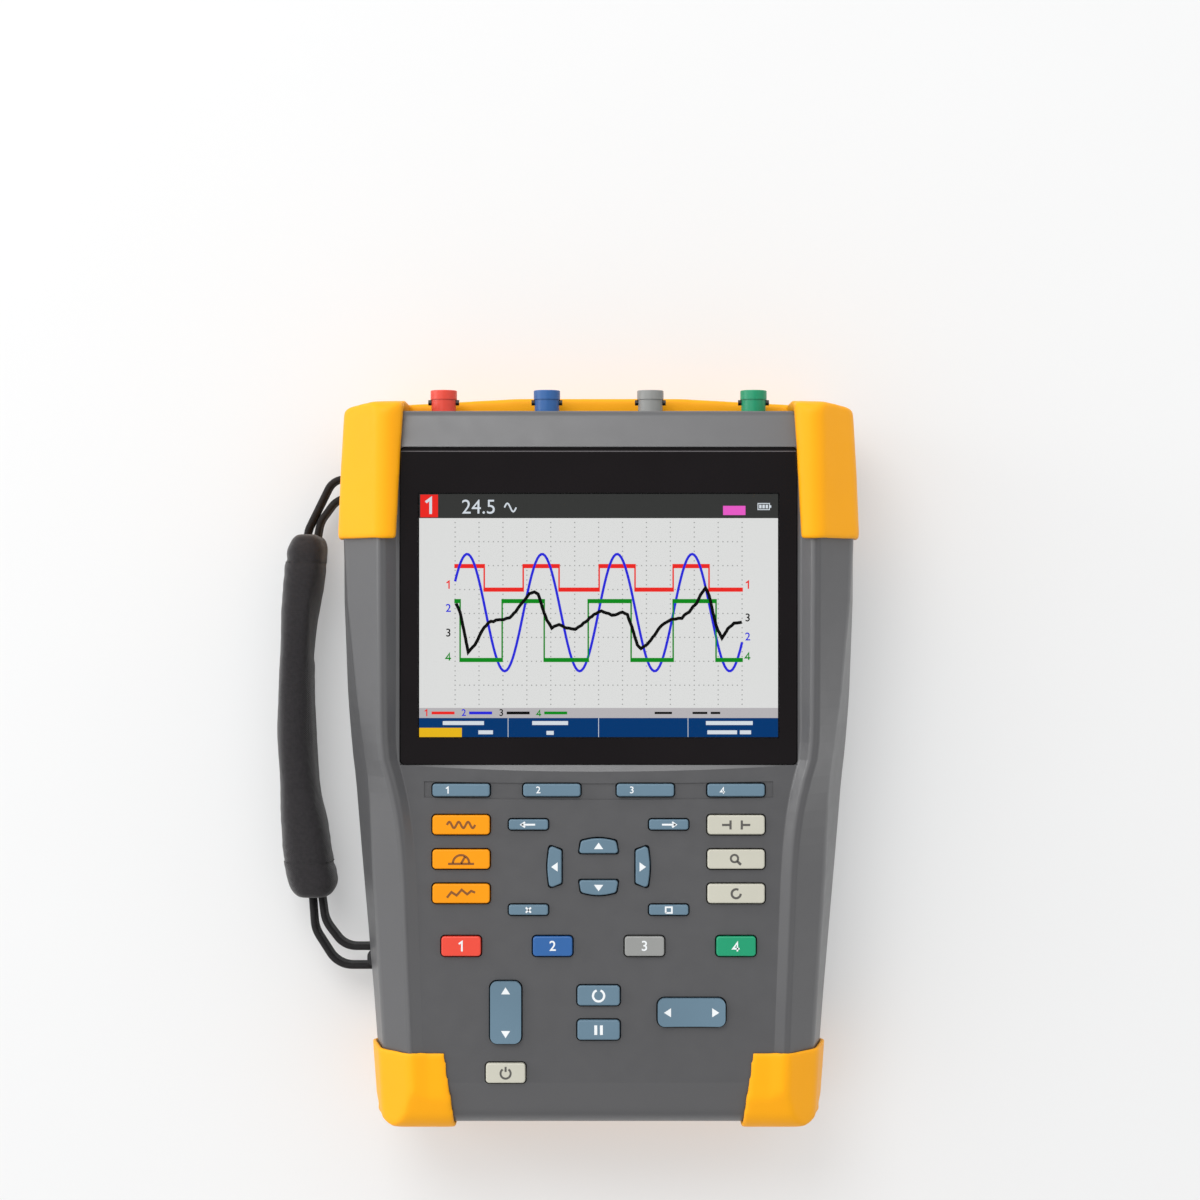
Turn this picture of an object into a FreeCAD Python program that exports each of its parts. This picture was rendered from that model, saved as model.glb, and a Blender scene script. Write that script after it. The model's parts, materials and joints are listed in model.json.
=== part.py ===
import FreeCAD, Part

import math
import os

# Handheld four-channel oscilloscope, lying on its back.
# +Y runs along the case to the connector end, +Z comes out of the display, all in millimetres.
# The origin is the middle of the land on the back on which the instrument rests.

V = FreeCAD.Vector

# ---- driving dimensions ----
HALF_LENGTH = 132.5      # connector tips and lower bumper
HALF_WIDTH = 95.0        # over the upper bumper
HEIGHT = 70.0            # over the upper bumper's ridge

BODY_TOP = 123.9         # end faces of the case
BODY_BOTTOM = -130.6
BACK_Z = 3.0             # back face of the case, the lands and feet stand below it
JOINT_Z = 30.0           # joint between the two case halves
JOINT_GAP = 0.6          # the gasket's thickness
SHOULDER_Z = 52.0        # where the side wall turns into the sloping rail
DECK_Z = 62.4            # face of the keypad and of the display's rim
WALL = 2.6
DECK_WALL = 4.2
HULL_TUCK = 12.0         # how much narrower the back is than the joint line

# y, half width at the joint, shoulder's inset from it, ridge x, ridge z, deck edge x
STATIONS = (
    (BODY_BOTTOM, 79.2, 3.4, 66.2, 63.2, 61.4),
    (-86.0, 82.6, 4.2, 67.8, 63.8, 63.0),
    (-43.0, 86.4, 5.2, 69.3, 64.6, 64.7),
    (-23.0, 88.2, 6.2, 70.8, 66.2, 66.4),
    (-9.0, 89.4, 6.6, 73.6, 67.5, 68.8),
    (1.6, 90.6, 6.4, 76.5, 68.3, 71.5),
    (24.0, 92.2, 5.0, 76.9, 68.4, 71.8),
    (56.0, 93.2, 2.8, 76.9, 68.4, 71.8),
    (80.0, 93.2, 1.6, 76.9, 68.4, 71.8),
    (102.0, 92.3, 1.6, 76.7, 68.4, 71.6),
    (BODY_TOP, 90.6, 1.6, 76.4, 68.4, 71.4),
)
CURVED = (-43.0, 24.0)   # between these the outline bends, so it takes closer sections
SECTION_STEP = 6.0

WINDOW_X = 70.6          # half width of the display window
WINDOW_Y = (-2.1, 110.6)
WINDOW_TOP = 61.4
WINDOW_THICK = 1.4
LIP_REACH = 2.4          # the bevel below the window, at its widest
LIP_DROP = 0.9
LIP_SECTIONS = 12
BAND_X = 62.0            # half length of the band round the soft keys
BAND_Y = (-13.8, -8.0)
BAND_BOW = 0.8
BAND_DEPTH = 0.5
SIGHT_X = 66.0           # half width of the opening behind the window
SIGHT_Y = (5.2, 96.6)
PANEL_Y = 111.0          # from here the panel slopes down towards the connectors
PANEL_DROP = 2.9

BOOT = 1.8               # thickness of the rubber bumpers on the sides
BOOT_RISE = 3.35         # how far the upper bumper's ridge corner stands above the case's
BOOT_RIDGE_R = 6.0
BOOT_CORNER = (92.6, 125.0, 7.0)     # x, y and radius of its plan's corners
BOOT_RIDGE_END = 126.4   # end of the upper bumper at its ridge
BOOT_LIP_X = (71.9, 68.9)    # inner lip of the bumper at its lower and upper end
BRIDGE_END = 130.4
BRIDGE_TOP = 28.5
BOOT_LOWER_Y = 78.1
LOWER_BOOT_UPPER_Y = -104.0
LOWER_BOOT_X = 50.0
LOWER_BOOT_RISE = 1.4

BNC_X = (-56.3, -18.8, 18.8, 56.3)
BNC_Z = 39.0
BNC_R = 4.8
BNC_LUG_Y = 128.1
BNC_COLLAR = 3.3         # full-size end of the barrel, beyond the lugs
BNC_NECK_R = 4.45
BNC_MOUTH_R = 3.9
BNC_CORE_R = 2.4
BNC_BORE_R = 0.7         # the centre contact's hole
BNC_FLANGE_R = 6.4
BNC_FLANGE_BACK = 6.9    # how far the flange and the core reach behind the end face

KEY_TOP = 64.0
KEY_BASE = 57.2
KEY_GAP = 0.5
KEY_FLANGE = 0.8
FLANGE_WIDTH = 1.1
KEY_TRAVEL = 1.0

STRAP_Z = (8.0, 18.0)    # webbing, standing on edge
WEB_THICK = 2.4
LUG_PIN_R = 2.0
LUG_Y = (98.0, -76.0)
PAD_SECTION = (15.0, 26.0, 6.0)
PAD_Z = 14.3
PAD_LINE = ((-106.8, 81.0), (-112.7, 12.0), (-104.8, -54.0))     # upper end, middle, lower end


# ---- helpers ----
def block(x0, x1, y0, y1, z0, z1):
    return Part.makeBox(x1 - x0, y1 - y0, z1 - z0, V(x0, y0, z0))


def rod(centre, radius, length, axis):
    return Part.makeCylinder(radius, length, V(*centre), V(*axis))


def fuse(shapes):
    first = shapes[0]
    for other in shapes[1:]:
        first = first.fuse(other)
    return first.removeSplitter()


def rounded_edges(points, place, closed=True):
    """Straight runs between the points, each corner turned by an arc of its own radius."""
    count = len(points)
    corners = []
    for i, (u, v, radius) in enumerate(points):
        here = place(u, v)
        if radius == 0 or (not closed and i in (0, count - 1)):
            corners.append((here, None, here))
            continue
        before = place(*points[i - 1][:2]) - here
        after = place(*points[(i + 1) % count][:2]) - here
        before.normalize()
        after.normalize()
        half = before.getAngle(after) / 2
        reach = radius / math.tan(half)
        middle = before + after
        middle.normalize()
        crown = here + middle * (radius / math.sin(half) - radius)
        corners.append((here + before * reach, crown, here + after * reach))
    edges = []
    for i, (start, crown, end) in enumerate(corners):
        if crown:
            edges.append(Part.Arc(start, crown, end).toShape())
        if closed or i + 1 < count:
            onward = corners[(i + 1) % count][0]
            if end.distanceToPoint(onward) > 1e-6:
                edges.append(Part.LineSegment(end, onward).toShape())
    return edges


def prism(points, z0, z1):
    """A plan outline of (x, y, corner radius) raised from z0 to z1."""
    wire = Part.Wire(rounded_edges(points, lambda x, y: V(x, y, z0)))
    return Part.Face(wire).extrude(V(0, 0, z1 - z0))


def side_prism(points, x0, x1):
    """A side outline of (y, z, corner radius) drawn across from x0 to x1."""
    wire = Part.Wire(rounded_edges(points, lambda y, z: V(x0, y, z)))
    return Part.Face(wire).extrude(V(x1 - x0, 0, 0))


def end_prism(points, y0, y1):
    """An end outline of (x, z, corner radius) drawn along from y0 to y1."""
    wire = Part.Wire(rounded_edges(points, lambda x, z: V(x, y0, z)))
    return Part.Face(wire).extrude(V(0, y1 - y0, 0))


def rect(cx, cy, width, height, radius):
    x, y = width / 2, height / 2
    return [(cx - x, cy - y, radius), (cx + x, cy - y, radius),
            (cx + x, cy + y, radius), (cx - x, cy + y, radius)]


def soft_edges(shape, radius, wanted):
    """Fillet the edges for which wanted(edge) is true, when the kernel can."""
    edges = [edge for edge in shape.Edges if wanted(edge)]
    if not edges:
        return shape
    try:
        result = shape.makeFillet(radius, edges)
    except Exception:
        return shape
    return result if result.isValid() and result.Volume > 0 else shape


def at_height(z):
    return lambda edge: all(abs(v.Point.z - z) < 1e-4 for v in edge.Vertexes)


def save(name, shapes):
    shape = shapes if isinstance(shapes, Part.Shape) else Part.makeCompound(shapes)
    if len(shape.Solids) == 1:
        shape = shape.Solids[0]
    shape.exportStep(os.path.join("parts", name + ".step"))
    print(name, "solids", len(shape.Solids), "volume", round(shape.Volume), "valid", shape.isValid())


# ---- the case's outer and inner shapes ----
def station(y):
    """Half width, shoulder inset, ridge x, ridge z and deck edge x at any y, on smooth curves."""
    last = len(STATIONS) - 2
    row = next((i for i in range(last) if y <= STATIONS[i + 1][0]), last)
    low, high = STATIONS[row], STATIONS[row + 1]
    before, after = STATIONS[max(row - 1, 0)], STATIONS[min(row + 2, last + 1)]
    span = high[0] - low[0]
    t = (y - low[0]) / span
    values = []
    for k in range(1, len(low)):
        slope_low = (high[k] - before[k]) / (high[0] - before[0]) * span
        slope_high = (after[k] - low[k]) / (after[0] - low[0]) * span
        values.append((2 * t ** 3 - 3 * t ** 2 + 1) * low[k] + (t ** 3 - 2 * t ** 2 + t) * slope_low
                      + (3 * t ** 2 - 2 * t ** 3) * high[k] + (t ** 3 - t ** 2) * slope_high)
    return values


def both_sides(right):
    """A closed end outline from its right half, listed from the bottom up."""
    return right + [(-x, z, radius) for x, z, radius in reversed(right)]


def outer_section(y, side=0.0, back=0.0, top=0.0, ridge_r=2.4):
    width, shoulder, ridge_x, ridge_z, deck_x = station(y)
    return both_sides([
        (width + side - HULL_TUCK, BACK_Z - back, 6.0),
        (width + side, JOINT_Z + 1.0, 8.0),
        (width + side - shoulder, SHOULDER_Z + 0.6 * top, 7.0),
        (ridge_x, ridge_z + top, ridge_r),
        (deck_x - top, DECK_Z + 0.9 * top, 1.0),
    ])


def inner_section(y):
    width, shoulder, ridge_x, ridge_z, deck_x = station(y)
    return both_sides([
        (width - HULL_TUCK - 1.8, BACK_Z + WALL, 4.0),
        (width - WALL, JOINT_Z + 1.0, 6.0),
        (width - shoulder - WALL, SHOULDER_Z - 1.0, 3.0),
        (ridge_x, ridge_z - 4.4, 1.0),
        (deck_x - 1.2, DECK_Z - DECK_WALL, 0.6),
    ])


def loft(section, ys):
    wires = [Part.Wire(rounded_edges(section(y), lambda x, z, y=y: V(x, y, z))) for y in ys]
    return Part.makeLoft(wires, True, True)


def between(low, high):
    """The y of each section of a loft from low to high."""
    count = round((CURVED[1] - CURVED[0]) / SECTION_STEP)
    bend = [CURVED[0] + (CURVED[1] - CURVED[0]) * i / count for i in range(count + 1)]
    straight = [row[0] for row in STATIONS if not CURVED[0] <= row[0] <= CURVED[1]]
    return [low] + [y for y in sorted(bend + straight) if low < y < high] + [high]


def case_outer():
    shape = loft(outer_section, between(BODY_BOTTOM, BODY_TOP))
    wide = HALF_WIDTH + 5
    plan = prism([(-84.0, BODY_BOTTOM, 13.0), (84.0, BODY_BOTTOM, 13.0),
                  (wide, BODY_TOP - 100, 30.0), (91.6, BODY_TOP, 8.0),
                  (-91.6, BODY_TOP, 8.0), (-wide, BODY_TOP - 100, 30.0)], -5, HEIGHT + 5)
    shape = shape.common(plan)
    # the keypad end and the connector end roll off towards the end faces
    roll = side_prism([(BODY_BOTTOM, 40.0, 0), (BODY_BOTTOM, -5.0, 0), (BODY_TOP, -5.0, 0),
                       (BODY_TOP, DECK_Z - PANEL_DROP, 3.0), (PANEL_Y, DECK_Z, 0), (PANEL_Y, HEIGHT + 5, 0),
                       (-112.0, HEIGHT + 5, 0), (-112.0, DECK_Z + 0.8, 0),
                       (BODY_BOTTOM, DECK_Z - 4.0, 9.0)], -wide, wide)
    return shape.common(roll)


def case_inner():
    shape = loft(inner_section, between(BODY_BOTTOM + WALL, BODY_TOP - WALL))
    low, high = BODY_BOTTOM + WALL, BODY_TOP - WALL
    plan = [(-80.0, low, 12.0), (80.0, low, 12.0), (98.0, high - 57.4, 0), (88.6, high, 4.0),
            (-88.6, high, 4.0), (-98.0, high - 57.4, 0)]
    shape = shape.common(prism(plan, -5, HEIGHT + 10))
    # solid corners where the deck rolls off into the end faces
    shape = shape.cut(block(-99, 99, BODY_BOTTOM, BODY_BOTTOM + 12.0, DECK_Z - 11.0, HEIGHT + 10))
    return shape.cut(block(-99, 99, BODY_TOP - 8.0, BODY_TOP, DECK_Z - 8.0, HEIGHT + 10))


def key_openings(keys):
    return [prism(outline(KEY_GAP), DECK_Z - 8, KEY_TOP + 4) for outline in keys.values()]


# ---- keys ----
def rect_key(cx, cy, width, height, radius=1.2):
    return lambda grow: rect(cx, cy, width + 2 * grow, height + 2 * grow, radius + grow)


def vertical_arrow_key(cy, sign):
    """Up and down keys: wider towards the middle of the pad, with an arched outer edge."""
    def outline(grow):
        inner, outer, half = 7.0 + grow, 6.2 + grow, 2.6 + grow
        points = [(-inner, cy - sign * half, 1.0), (inner, cy - sign * half, 1.0),
                  (outer, cy + sign * (half - 0.9), 1.4), (0.0, cy + sign * (half + 0.5), 18.0),
                  (-outer, cy + sign * (half - 0.9), 1.4)]
        return points if sign > 0 else points[::-1]
    return outline


def side_arrow_key(sign):
    """Left and right keys: slanted ends and a bowed outer edge."""
    def outline(grow):
        cx, cy = sign * 15.7, -38.3
        outer, inner = cx + sign * (2.4 + grow), cx - sign * (2.55 + grow)
        points = [(inner, cy - 5.8 - grow, 1.0), (outer - sign * 0.7, cy - 7.6 - grow, 1.2),
                  (outer + sign * 0.3, cy, 30.0), (outer - sign * 0.7, cy + 7.6 + grow, 1.2),
                  (inner, cy + 5.8 + grow, 1.0)]
        return points if sign > 0 else points[::-1]
    return outline


def press_keys():
    keys = {}
    for i, x in enumerate((-48.8, -16.6, 16.6, 48.8)):
        keys["key_soft_%d" % (i + 1)] = rect_key(x, -11.1, 20.3, 4.4, 1.0)
    for row, (left, right) in enumerate((("scope", "cursor"), ("meter", "zoom"), ("recorder", "replay"))):
        keys["key_" + left] = rect_key(-48.8, -23.4 - 12.2 * row, 20.3, 6.8)
        keys["key_" + right] = rect_key(48.8, -23.4 - 12.2 * row, 20.3, 6.8)
    for y, (left, right) in ((-23.3, ("back", "enter")), (-53.6, ("clear", "save"))):
        keys["key_" + left] = rect_key(-24.9, y, 13.9, 3.6, 0.9)
        keys["key_" + right] = rect_key(24.9, y, 13.9, 3.6, 0.9)
    keys["key_up"] = vertical_arrow_key(-30.9, 1)
    keys["key_down"] = vertical_arrow_key(-45.7, -1)
    keys["key_left"] = side_arrow_key(-1)
    keys["key_right"] = side_arrow_key(1)
    for i, x in enumerate((-48.8, -16.3, 16.3, 48.8)):
        keys["key_channel_%d" % (i + 1)] = rect_key(x, -66.5, 14.0, 7.0)
    keys["key_auto"] = rect_key(0.0, -84.0, 15.0, 7.0)
    keys["key_hold"] = rect_key(0.0, -96.2, 15.0, 7.0)
    keys["key_power"] = rect_key(-33.0, -111.5, 14.0, 7.0)
    return keys


def rocker_keys():
    return {"rocker_range": rect_key(-33.0, -90.0, 11.0, 22.0, 2.5),
            "rocker_time": rect_key(33.0, -90.0, 24.0, 10.0, 2.5)}


def press_key(outline):
    cap = soft_edges(prism(outline(0), KEY_BASE, KEY_TOP), 0.5, at_height(KEY_TOP))
    flange = prism(outline(FLANGE_WIDTH), KEY_BASE, KEY_BASE + KEY_FLANGE)
    return fuse([cap, flange])


def rocker(outline, along):
    """A rocker that dips in the middle and stands higher at its two ends."""
    cap = prism(outline(0), KEY_BASE + 0.2, KEY_TOP + 0.8)
    x, y = (33.0, -90.0) if along == "x" else (-33.0, -90.0)
    dip_r = 90.0
    centre_z = KEY_TOP - 0.2 + dip_r
    if along == "x":
        dip = rod((x, y - 15, centre_z), dip_r, 30, (0, 1, 0))
    else:
        dip = rod((x - 15, y, centre_z), dip_r, 30, (1, 0, 0))
    return cap.cut(dip)


# ---- case halves and what is cut into them ----
SCREW_Y = (100.0, 12.0, -60.0, -117.0)
SCREW_INSET = 19.0
BOSS_R = 3.8
BOSS_HEIGHT = 30.2       # of the front case's bosses
SCREW_R = 1.5
SCREW_HEAD_R = 2.8

STAND_X = 45.0
STAND_Y = (22.0, 93.0)   # free end and hinge line
STAND_Z = (3.4, 8.4)
STAND_PIN_Z = 5.9
STAND_PIN_R = 1.5
RUNNING = 0.05

DOOR_X = 44.0
DOOR_Y = (-118.0, -56.0)
DOOR_SCREW_X = 34.0

PORT_Y = (32.0, 66.0)
PORT_Z = (9.5, 25.0)
FLAP_THICK = 2.4
FLAP_R = 1.7
SOCKET_SHEET = 0.6
JACK_R = 2.75            # the adapter plug's barrel is 5.5 mm
JACK_PIN_R = 1.0


def screw_places():
    return [(sign * (station(y)[0] - SCREW_INSET), y) for y in SCREW_Y for sign in (-1, 1)]


def hull_x(z, y=50.0):
    """Half width of the sloping lower side at height z."""
    return station(y)[0] - HULL_TUCK * (JOINT_Z + 1 - z) / (JOINT_Z + 1 - BACK_Z)


def window_outline(grow, radius):
    y0, y1 = WINDOW_Y
    return rect(0, (y0 + y1) / 2, 2 * (WINDOW_X + grow), y1 - y0 + 2 * grow, radius)


def soft_key_band():
    """A shallow pocket round the soft keys, whose long edges bow towards the other keys."""
    z = DECK_Z - BAND_DEPTH
    low_y, high_y = BAND_Y
    low = Part.Arc(V(-BAND_X, low_y, z), V(0, low_y - BAND_BOW, z), V(BAND_X, low_y, z))
    high = Part.Arc(V(BAND_X, high_y, z), V(0, high_y - BAND_BOW, z), V(-BAND_X, high_y, z))
    right = Part.LineSegment(V(BAND_X, low_y, z), V(BAND_X, high_y, z))
    left = Part.LineSegment(V(-BAND_X, high_y, z), V(-BAND_X, low_y, z))
    wire = Part.Wire([edge.toShape() for edge in (low, right, high, left)])
    return Part.Face(wire).extrude(V(0, 0, 3))


def lip_bevel():
    """The crescent-shaped bevel that falls from the deck to the lower edge of the window."""
    edge_y = WINDOW_Y[0] + 0.3
    wires = []
    for i in range(LIP_SECTIONS + 1):
        x = WINDOW_X * (2 * i / LIP_SECTIONS - 1)
        reach = LIP_REACH * (1 - (x / WINDOW_X) ** 2) + 0.4
        corners = [V(x, edge_y, DECK_Z - LIP_DROP), V(x, edge_y - reach, DECK_Z),
                   V(x, edge_y - reach, DECK_Z + 2), V(x, edge_y, DECK_Z + 2)]
        wires.append(Part.makePolygon(corners + corners[:1]))
    return Part.makeLoft(wires, True, True)


def front_case(outer, inner, keys):
    shape = outer.common(block(-99, 99, -140, 140, JOINT_Z + JOINT_GAP / 2, 90)).cut(inner)
    bosses = [rod((x, y, JOINT_Z + JOINT_GAP / 2), BOSS_R, BOSS_HEIGHT, (0, 0, 1))
              for x, y in screw_places()]
    shape = fuse([shape] + bosses)
    recess = prism(window_outline(0.2, 1.7), WINDOW_TOP - WINDOW_THICK, HEIGHT + 4)
    sight = block(-SIGHT_X, SIGHT_X, SIGHT_Y[0], SIGHT_Y[1], 50, 65)
    cuts = [recess, sight, lip_bevel(), soft_key_band()] + key_openings(keys)
    cuts += [rod((x, y, JOINT_Z), SCREW_R + RUNNING, 16.0, (0, 0, 1)) for x, y in screw_places()]
    cuts += [rod((x, BODY_TOP - 8, BNC_Z), BNC_NECK_R + 0.1, 12, (0, 1, 0)) for x in BNC_X]
    for cut in cuts:
        shape = shape.cut(cut)
    return shape


def rear_case(outer, inner):
    shape = outer.common(block(-99, 99, -140, 140, -5, JOINT_Z - JOINT_GAP / 2)).cut(inner)
    added = [rod((x, y, BACK_Z + 1), BOSS_R, JOINT_Z - JOINT_GAP / 2 - BACK_Z - 1, (0, 0, 1))
             for x, y in screw_places()]
    y0, y1 = STAND_Y
    added.append(block(-STAND_X - 6, STAND_X + 6, y0 - 3, y1 + 5.6, BACK_Z, STAND_Z[1] + 2.9))
    added.append(prism(rect(0, -6, 50, 28, 4), 0.0, BACK_Z + 1))
    # ledges that take the battery door's screws
    for sign in (-1, 1):
        x = sign * DOOR_SCREW_X
        added.append(block(x - 7, x + 7, DOOR_Y[1] - 7, DOOR_Y[1] + 5, BACK_Z + WALL, BACK_Z + WALL + 2.4))
    # pocket behind the port flap
    py0, py1 = PORT_Y
    added.append(block(70.0, 79.0, py0 - 3, py1 + 3, 5.0, JOINT_Z - 2.5))
    added.append(block(78.0, 84.0, py0 - 3, py0 - 0.4, 7.0, 27.0).common(outer))
    added.append(block(78.0, 84.0, py1 + 0.4, py1 + 3, 7.0, 27.0).common(outer))
    shape = fuse([shape] + added)
    cuts = [block(-STAND_X - 0.4, STAND_X + 0.4, y0 - 0.6, y1 + 2.9, -5, STAND_Z[1] + 0.5)]
    cuts.append(prism(rect(0, y0 - 2, 22, 12, 4), -5, BACK_Z + 2.2))
    cuts.append(rod((-STAND_X - 4.5, y1, STAND_PIN_Z), STAND_PIN_R, 2 * STAND_X + 9, (1, 0, 0)))
    cuts.append(prism(rect(0, sum(DOOR_Y) / 2, 2 * DOOR_X + 0.6, DOOR_Y[1] - DOOR_Y[0] + 0.6, 4.3),
                      -5, BACK_Z + WALL))
    for x, y in screw_places():
        cuts.append(rod((x, y, -1), SCREW_HEAD_R + 0.2, BACK_Z + 1 + 2.4, (0, 0, 1)))
        cuts.append(rod((x, y, -1), SCREW_R + RUNNING, 40, (0, 0, 1)))
    for sign in (-1, 1):
        cuts.append(rod((sign * DOOR_SCREW_X, DOOR_Y[1] - 4, 0), 1.0 + RUNNING, 12, (0, 0, 1)))
    cuts.append(port_recess())
    for y, width, z, height in port_sockets():
        cuts.append(block(69.0, 80.0, y - width / 2, y + width / 2, z - height / 2, z + height / 2))
    for cut in cuts:
        shape = shape.cut(cut)
    return shape


def port_sockets():
    """Centre y, width, centre z and height of the two data sockets and the power socket."""
    return ((38.0, 5.4, 17.0, 13.4), (48.0, 8.4, 17.0, 4.4), (58.5, 9.0, 17.0, 9.0))


def flap_line(z):
    return hull_x(z) - 0.5


def port_recess():
    y0, y1 = PORT_Y
    z0, z1 = PORT_Z
    hinge_x = flap_line(z0) - FLAP_THICK / 2
    slot = end_prism([(79.0, z0 - 0.2, 0), (99.0, z0 - 0.2, 0), (99.0, z1 + 0.4, 0), (79.0, z1 + 0.4, 0)],
                     y0 - 0.4, y1 + 0.4)
    round_seat = rod((hinge_x, y0 - 0.4, z0), FLAP_R + 0.3, y1 - y0 + 0.8, (0, 1, 0))
    opening = block(hinge_x, 99.0, y0 - 0.4, y1 + 0.4, z0 - FLAP_R - 0.3, z0)
    return fuse([slot, round_seat, opening])


def port_cover():
    y0, y1 = PORT_Y
    z0, z1 = PORT_Z
    hinge_x = flap_line(z0) - FLAP_THICK / 2
    plate = end_prism([(flap_line(z0) - FLAP_THICK, z0, 0), (flap_line(z0), z0, 0),
                       (flap_line(z1), z1, 0.5), (flap_line(z1) - FLAP_THICK, z1, 0.5)], y0, y1)
    knuckle = rod((hinge_x, y0, z0), FLAP_R, y1 - y0, (0, 1, 0))
    middle = (y0 + y1) / 2
    pull = block(flap_line(z1) - 1.0, flap_line(z1) + 0.6, middle - 5, middle + 5, z1 - 2.6, z1 - 1.0)
    bore = rod((hinge_x, y0 - 1, z0), 0.8 + RUNNING, y1 - y0 + 2, (0, 1, 0))
    return fuse([plate, knuckle, pull]).cut(bore)


def port_cover_pin():
    y0, y1 = PORT_Y
    hinge_x = flap_line(PORT_Z[0]) - FLAP_THICK / 2
    return rod((hinge_x, y0 - 0.4, PORT_Z[0]), 0.8, y1 - y0 + 0.8, (0, 1, 0))


def gasket(outer):
    slab = block(-99, 99, -140, 140, JOINT_Z - JOINT_GAP / 2, JOINT_Z + JOINT_GAP / 2)
    scale = [((HALF_WIDTH - 2 * inset) / HALF_WIDTH, (HALF_LENGTH - 2 * inset) / HALF_LENGTH)
             for inset in (0.35, 0.95)]
    rings = []
    for sx, sy in scale:
        matrix = FreeCAD.Matrix()
        matrix.scale(V(sx, sy, 1))
        rings.append(outer.common(slab).transformGeometry(matrix))
    return rings[0].cut(rings[1])


# ---- rubber bumpers ----
def lug_notch(y, side):
    return block(side * 78 - 20, side * 78 + 20, y - 9, y + 9, -2, 24.0)


def top_bumper(outer):
    shape = loft(lambda y: outer_section(min(y, BODY_TOP), BOOT, BACK_Z, BOOT_RISE, BOOT_RIDGE_R),
                 between(BOOT_LOWER_Y, BODY_TOP)[:-1] + [BRIDGE_END + 1])
    wide = HALF_WIDTH + 5
    right = [(wide, 92.0, 0), BOOT_CORNER, (70.0, BRIDGE_END - 2.2, 30.0), (30.0, BRIDGE_END, 90.0)]
    left = [(-x, y, radius) for x, y, radius in reversed(right)]
    shape = shape.common(prism([(-wide, 70.0, 0), (wide, 70.0, 0)] + right + left, -2, HEIGHT + 3))
    # the end wall leans back above the bridge and rolls over into the ridge
    side = side_prism([(60.0, -2.0, 0), (BRIDGE_END + 3, -2.0, 0), (BRIDGE_END + 3, BRIDGE_TOP + 1, 0),
                       (BRIDGE_END - 1.0, BRIDGE_TOP + 7, 0), (BOOT_RIDGE_END, HEIGHT, 6.0),
                       (60.0, HEIGHT, 0)], -wide, wide)
    shape = shape.common(side)
    shape = shape.cut(outer)
    # open between the corners: the front face and the connectors stay clear
    low_x, high_x = BOOT_LIP_X
    front_gap = prism([(-low_x, BOOT_LOWER_Y - 1, 0), (low_x, BOOT_LOWER_Y - 1, 0), (high_x, 135.0, 0),
                       (-high_x, 135.0, 0)], BRIDGE_TOP, HEIGHT + 5)
    back_gap = block(-62, 62, 60, BODY_TOP, -5, BRIDGE_TOP)
    shape = shape.cut(front_gap).cut(back_gap)
    for sign in (-1, 1):
        shape = shape.cut(lug_notch(LUG_Y[0], sign))
    return shape


def bottom_bumper(outer):
    ys = [BODY_BOTTOM, LOWER_BOOT_UPPER_Y]
    shape = loft(lambda y: outer_section(max(y, BODY_BOTTOM), BOOT, BACK_Z, LOWER_BOOT_RISE, 4.0),
                 [-HALF_LENGTH - 1] + ys)
    wide = HALF_WIDTH
    plan_points = [(-79.5, -HALF_LENGTH, 12.0), (79.5, -HALF_LENGTH, 12.0),
                   (wide, -60.0, 0), (-wide, -60.0, 0)]
    shape = shape.common(prism(plan_points, -2, HEIGHT))
    side_points = [(-60.0, -2.0, 0), (-60.0, HEIGHT, 0), (-118.0, HEIGHT, 0), (-118.0, DECK_Z + 2.2, 0),
                   (-HALF_LENGTH, DECK_Z - 2.6, 10.0), (-HALF_LENGTH, -2.0, 0)]
    side = side_prism(side_points, -wide, wide)
    shape = shape.common(side).cut(outer)
    x = LOWER_BOOT_X
    shape = shape.cut(prism([(-x - 6, -90.0, 0), (x + 6, -90.0, 0), (x, -140.0, 0), (-x, -140.0, 0)],
                            BRIDGE_TOP, HEIGHT))
    return shape.cut(block(-x, x, BODY_BOTTOM, -90, -5, BRIDGE_TOP))


# ---- connectors ----
def bnc_shell(x):
    collar = rod((x, HALF_LENGTH - BNC_COLLAR, BNC_Z), BNC_R, BNC_COLLAR, (0, 1, 0))
    collar = soft_edges(collar, 0.3, lambda e: all(v.Point.y > HALF_LENGTH - 0.01 for v in e.Vertexes))
    neck = rod((x, BODY_TOP - 3.0, BNC_Z), BNC_NECK_R, HALF_LENGTH - BNC_COLLAR - BODY_TOP + 3.0, (0, 1, 0))
    flange = rod((x, BODY_TOP - BNC_FLANGE_BACK, BNC_Z), BNC_FLANGE_R, 4.1, (0, 1, 0))
    mouth = rod((x, HALF_LENGTH - 8.0, BNC_Z), BNC_MOUTH_R, 9.0, (0, 1, 0))
    core_length = HALF_LENGTH - BODY_TOP + BNC_FLANGE_BACK - 1.5
    core = rod((x, BODY_TOP - BNC_FLANGE_BACK, BNC_Z), BNC_CORE_R, core_length, (0, 1, 0))
    hollow = rod((x, BODY_TOP - 8, BNC_Z), BNC_BORE_R, 30, (0, 1, 0))
    return fuse([fuse([collar, neck, flange]).cut(mouth), core]).cut(hollow)


def bnc_metalwork():
    pieces = []
    for x in BNC_X:
        pieces.append(rod((x, BODY_TOP - BNC_FLANGE_BACK, BNC_Z), BNC_BORE_R, 11.0, (0, 1, 0)))
        studs = rod((x - 5.6, BNC_LUG_Y, BNC_Z), 1.0, 11.2, (1, 0, 0))
        pieces += studs.cut(rod((x, 120, BNC_Z), BNC_NECK_R, 15, (0, 1, 0))).Solids
    return pieces


# ---- strap ----
def lug_pin_x(y):
    return -(station(y)[0] - 0.4)


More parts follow.
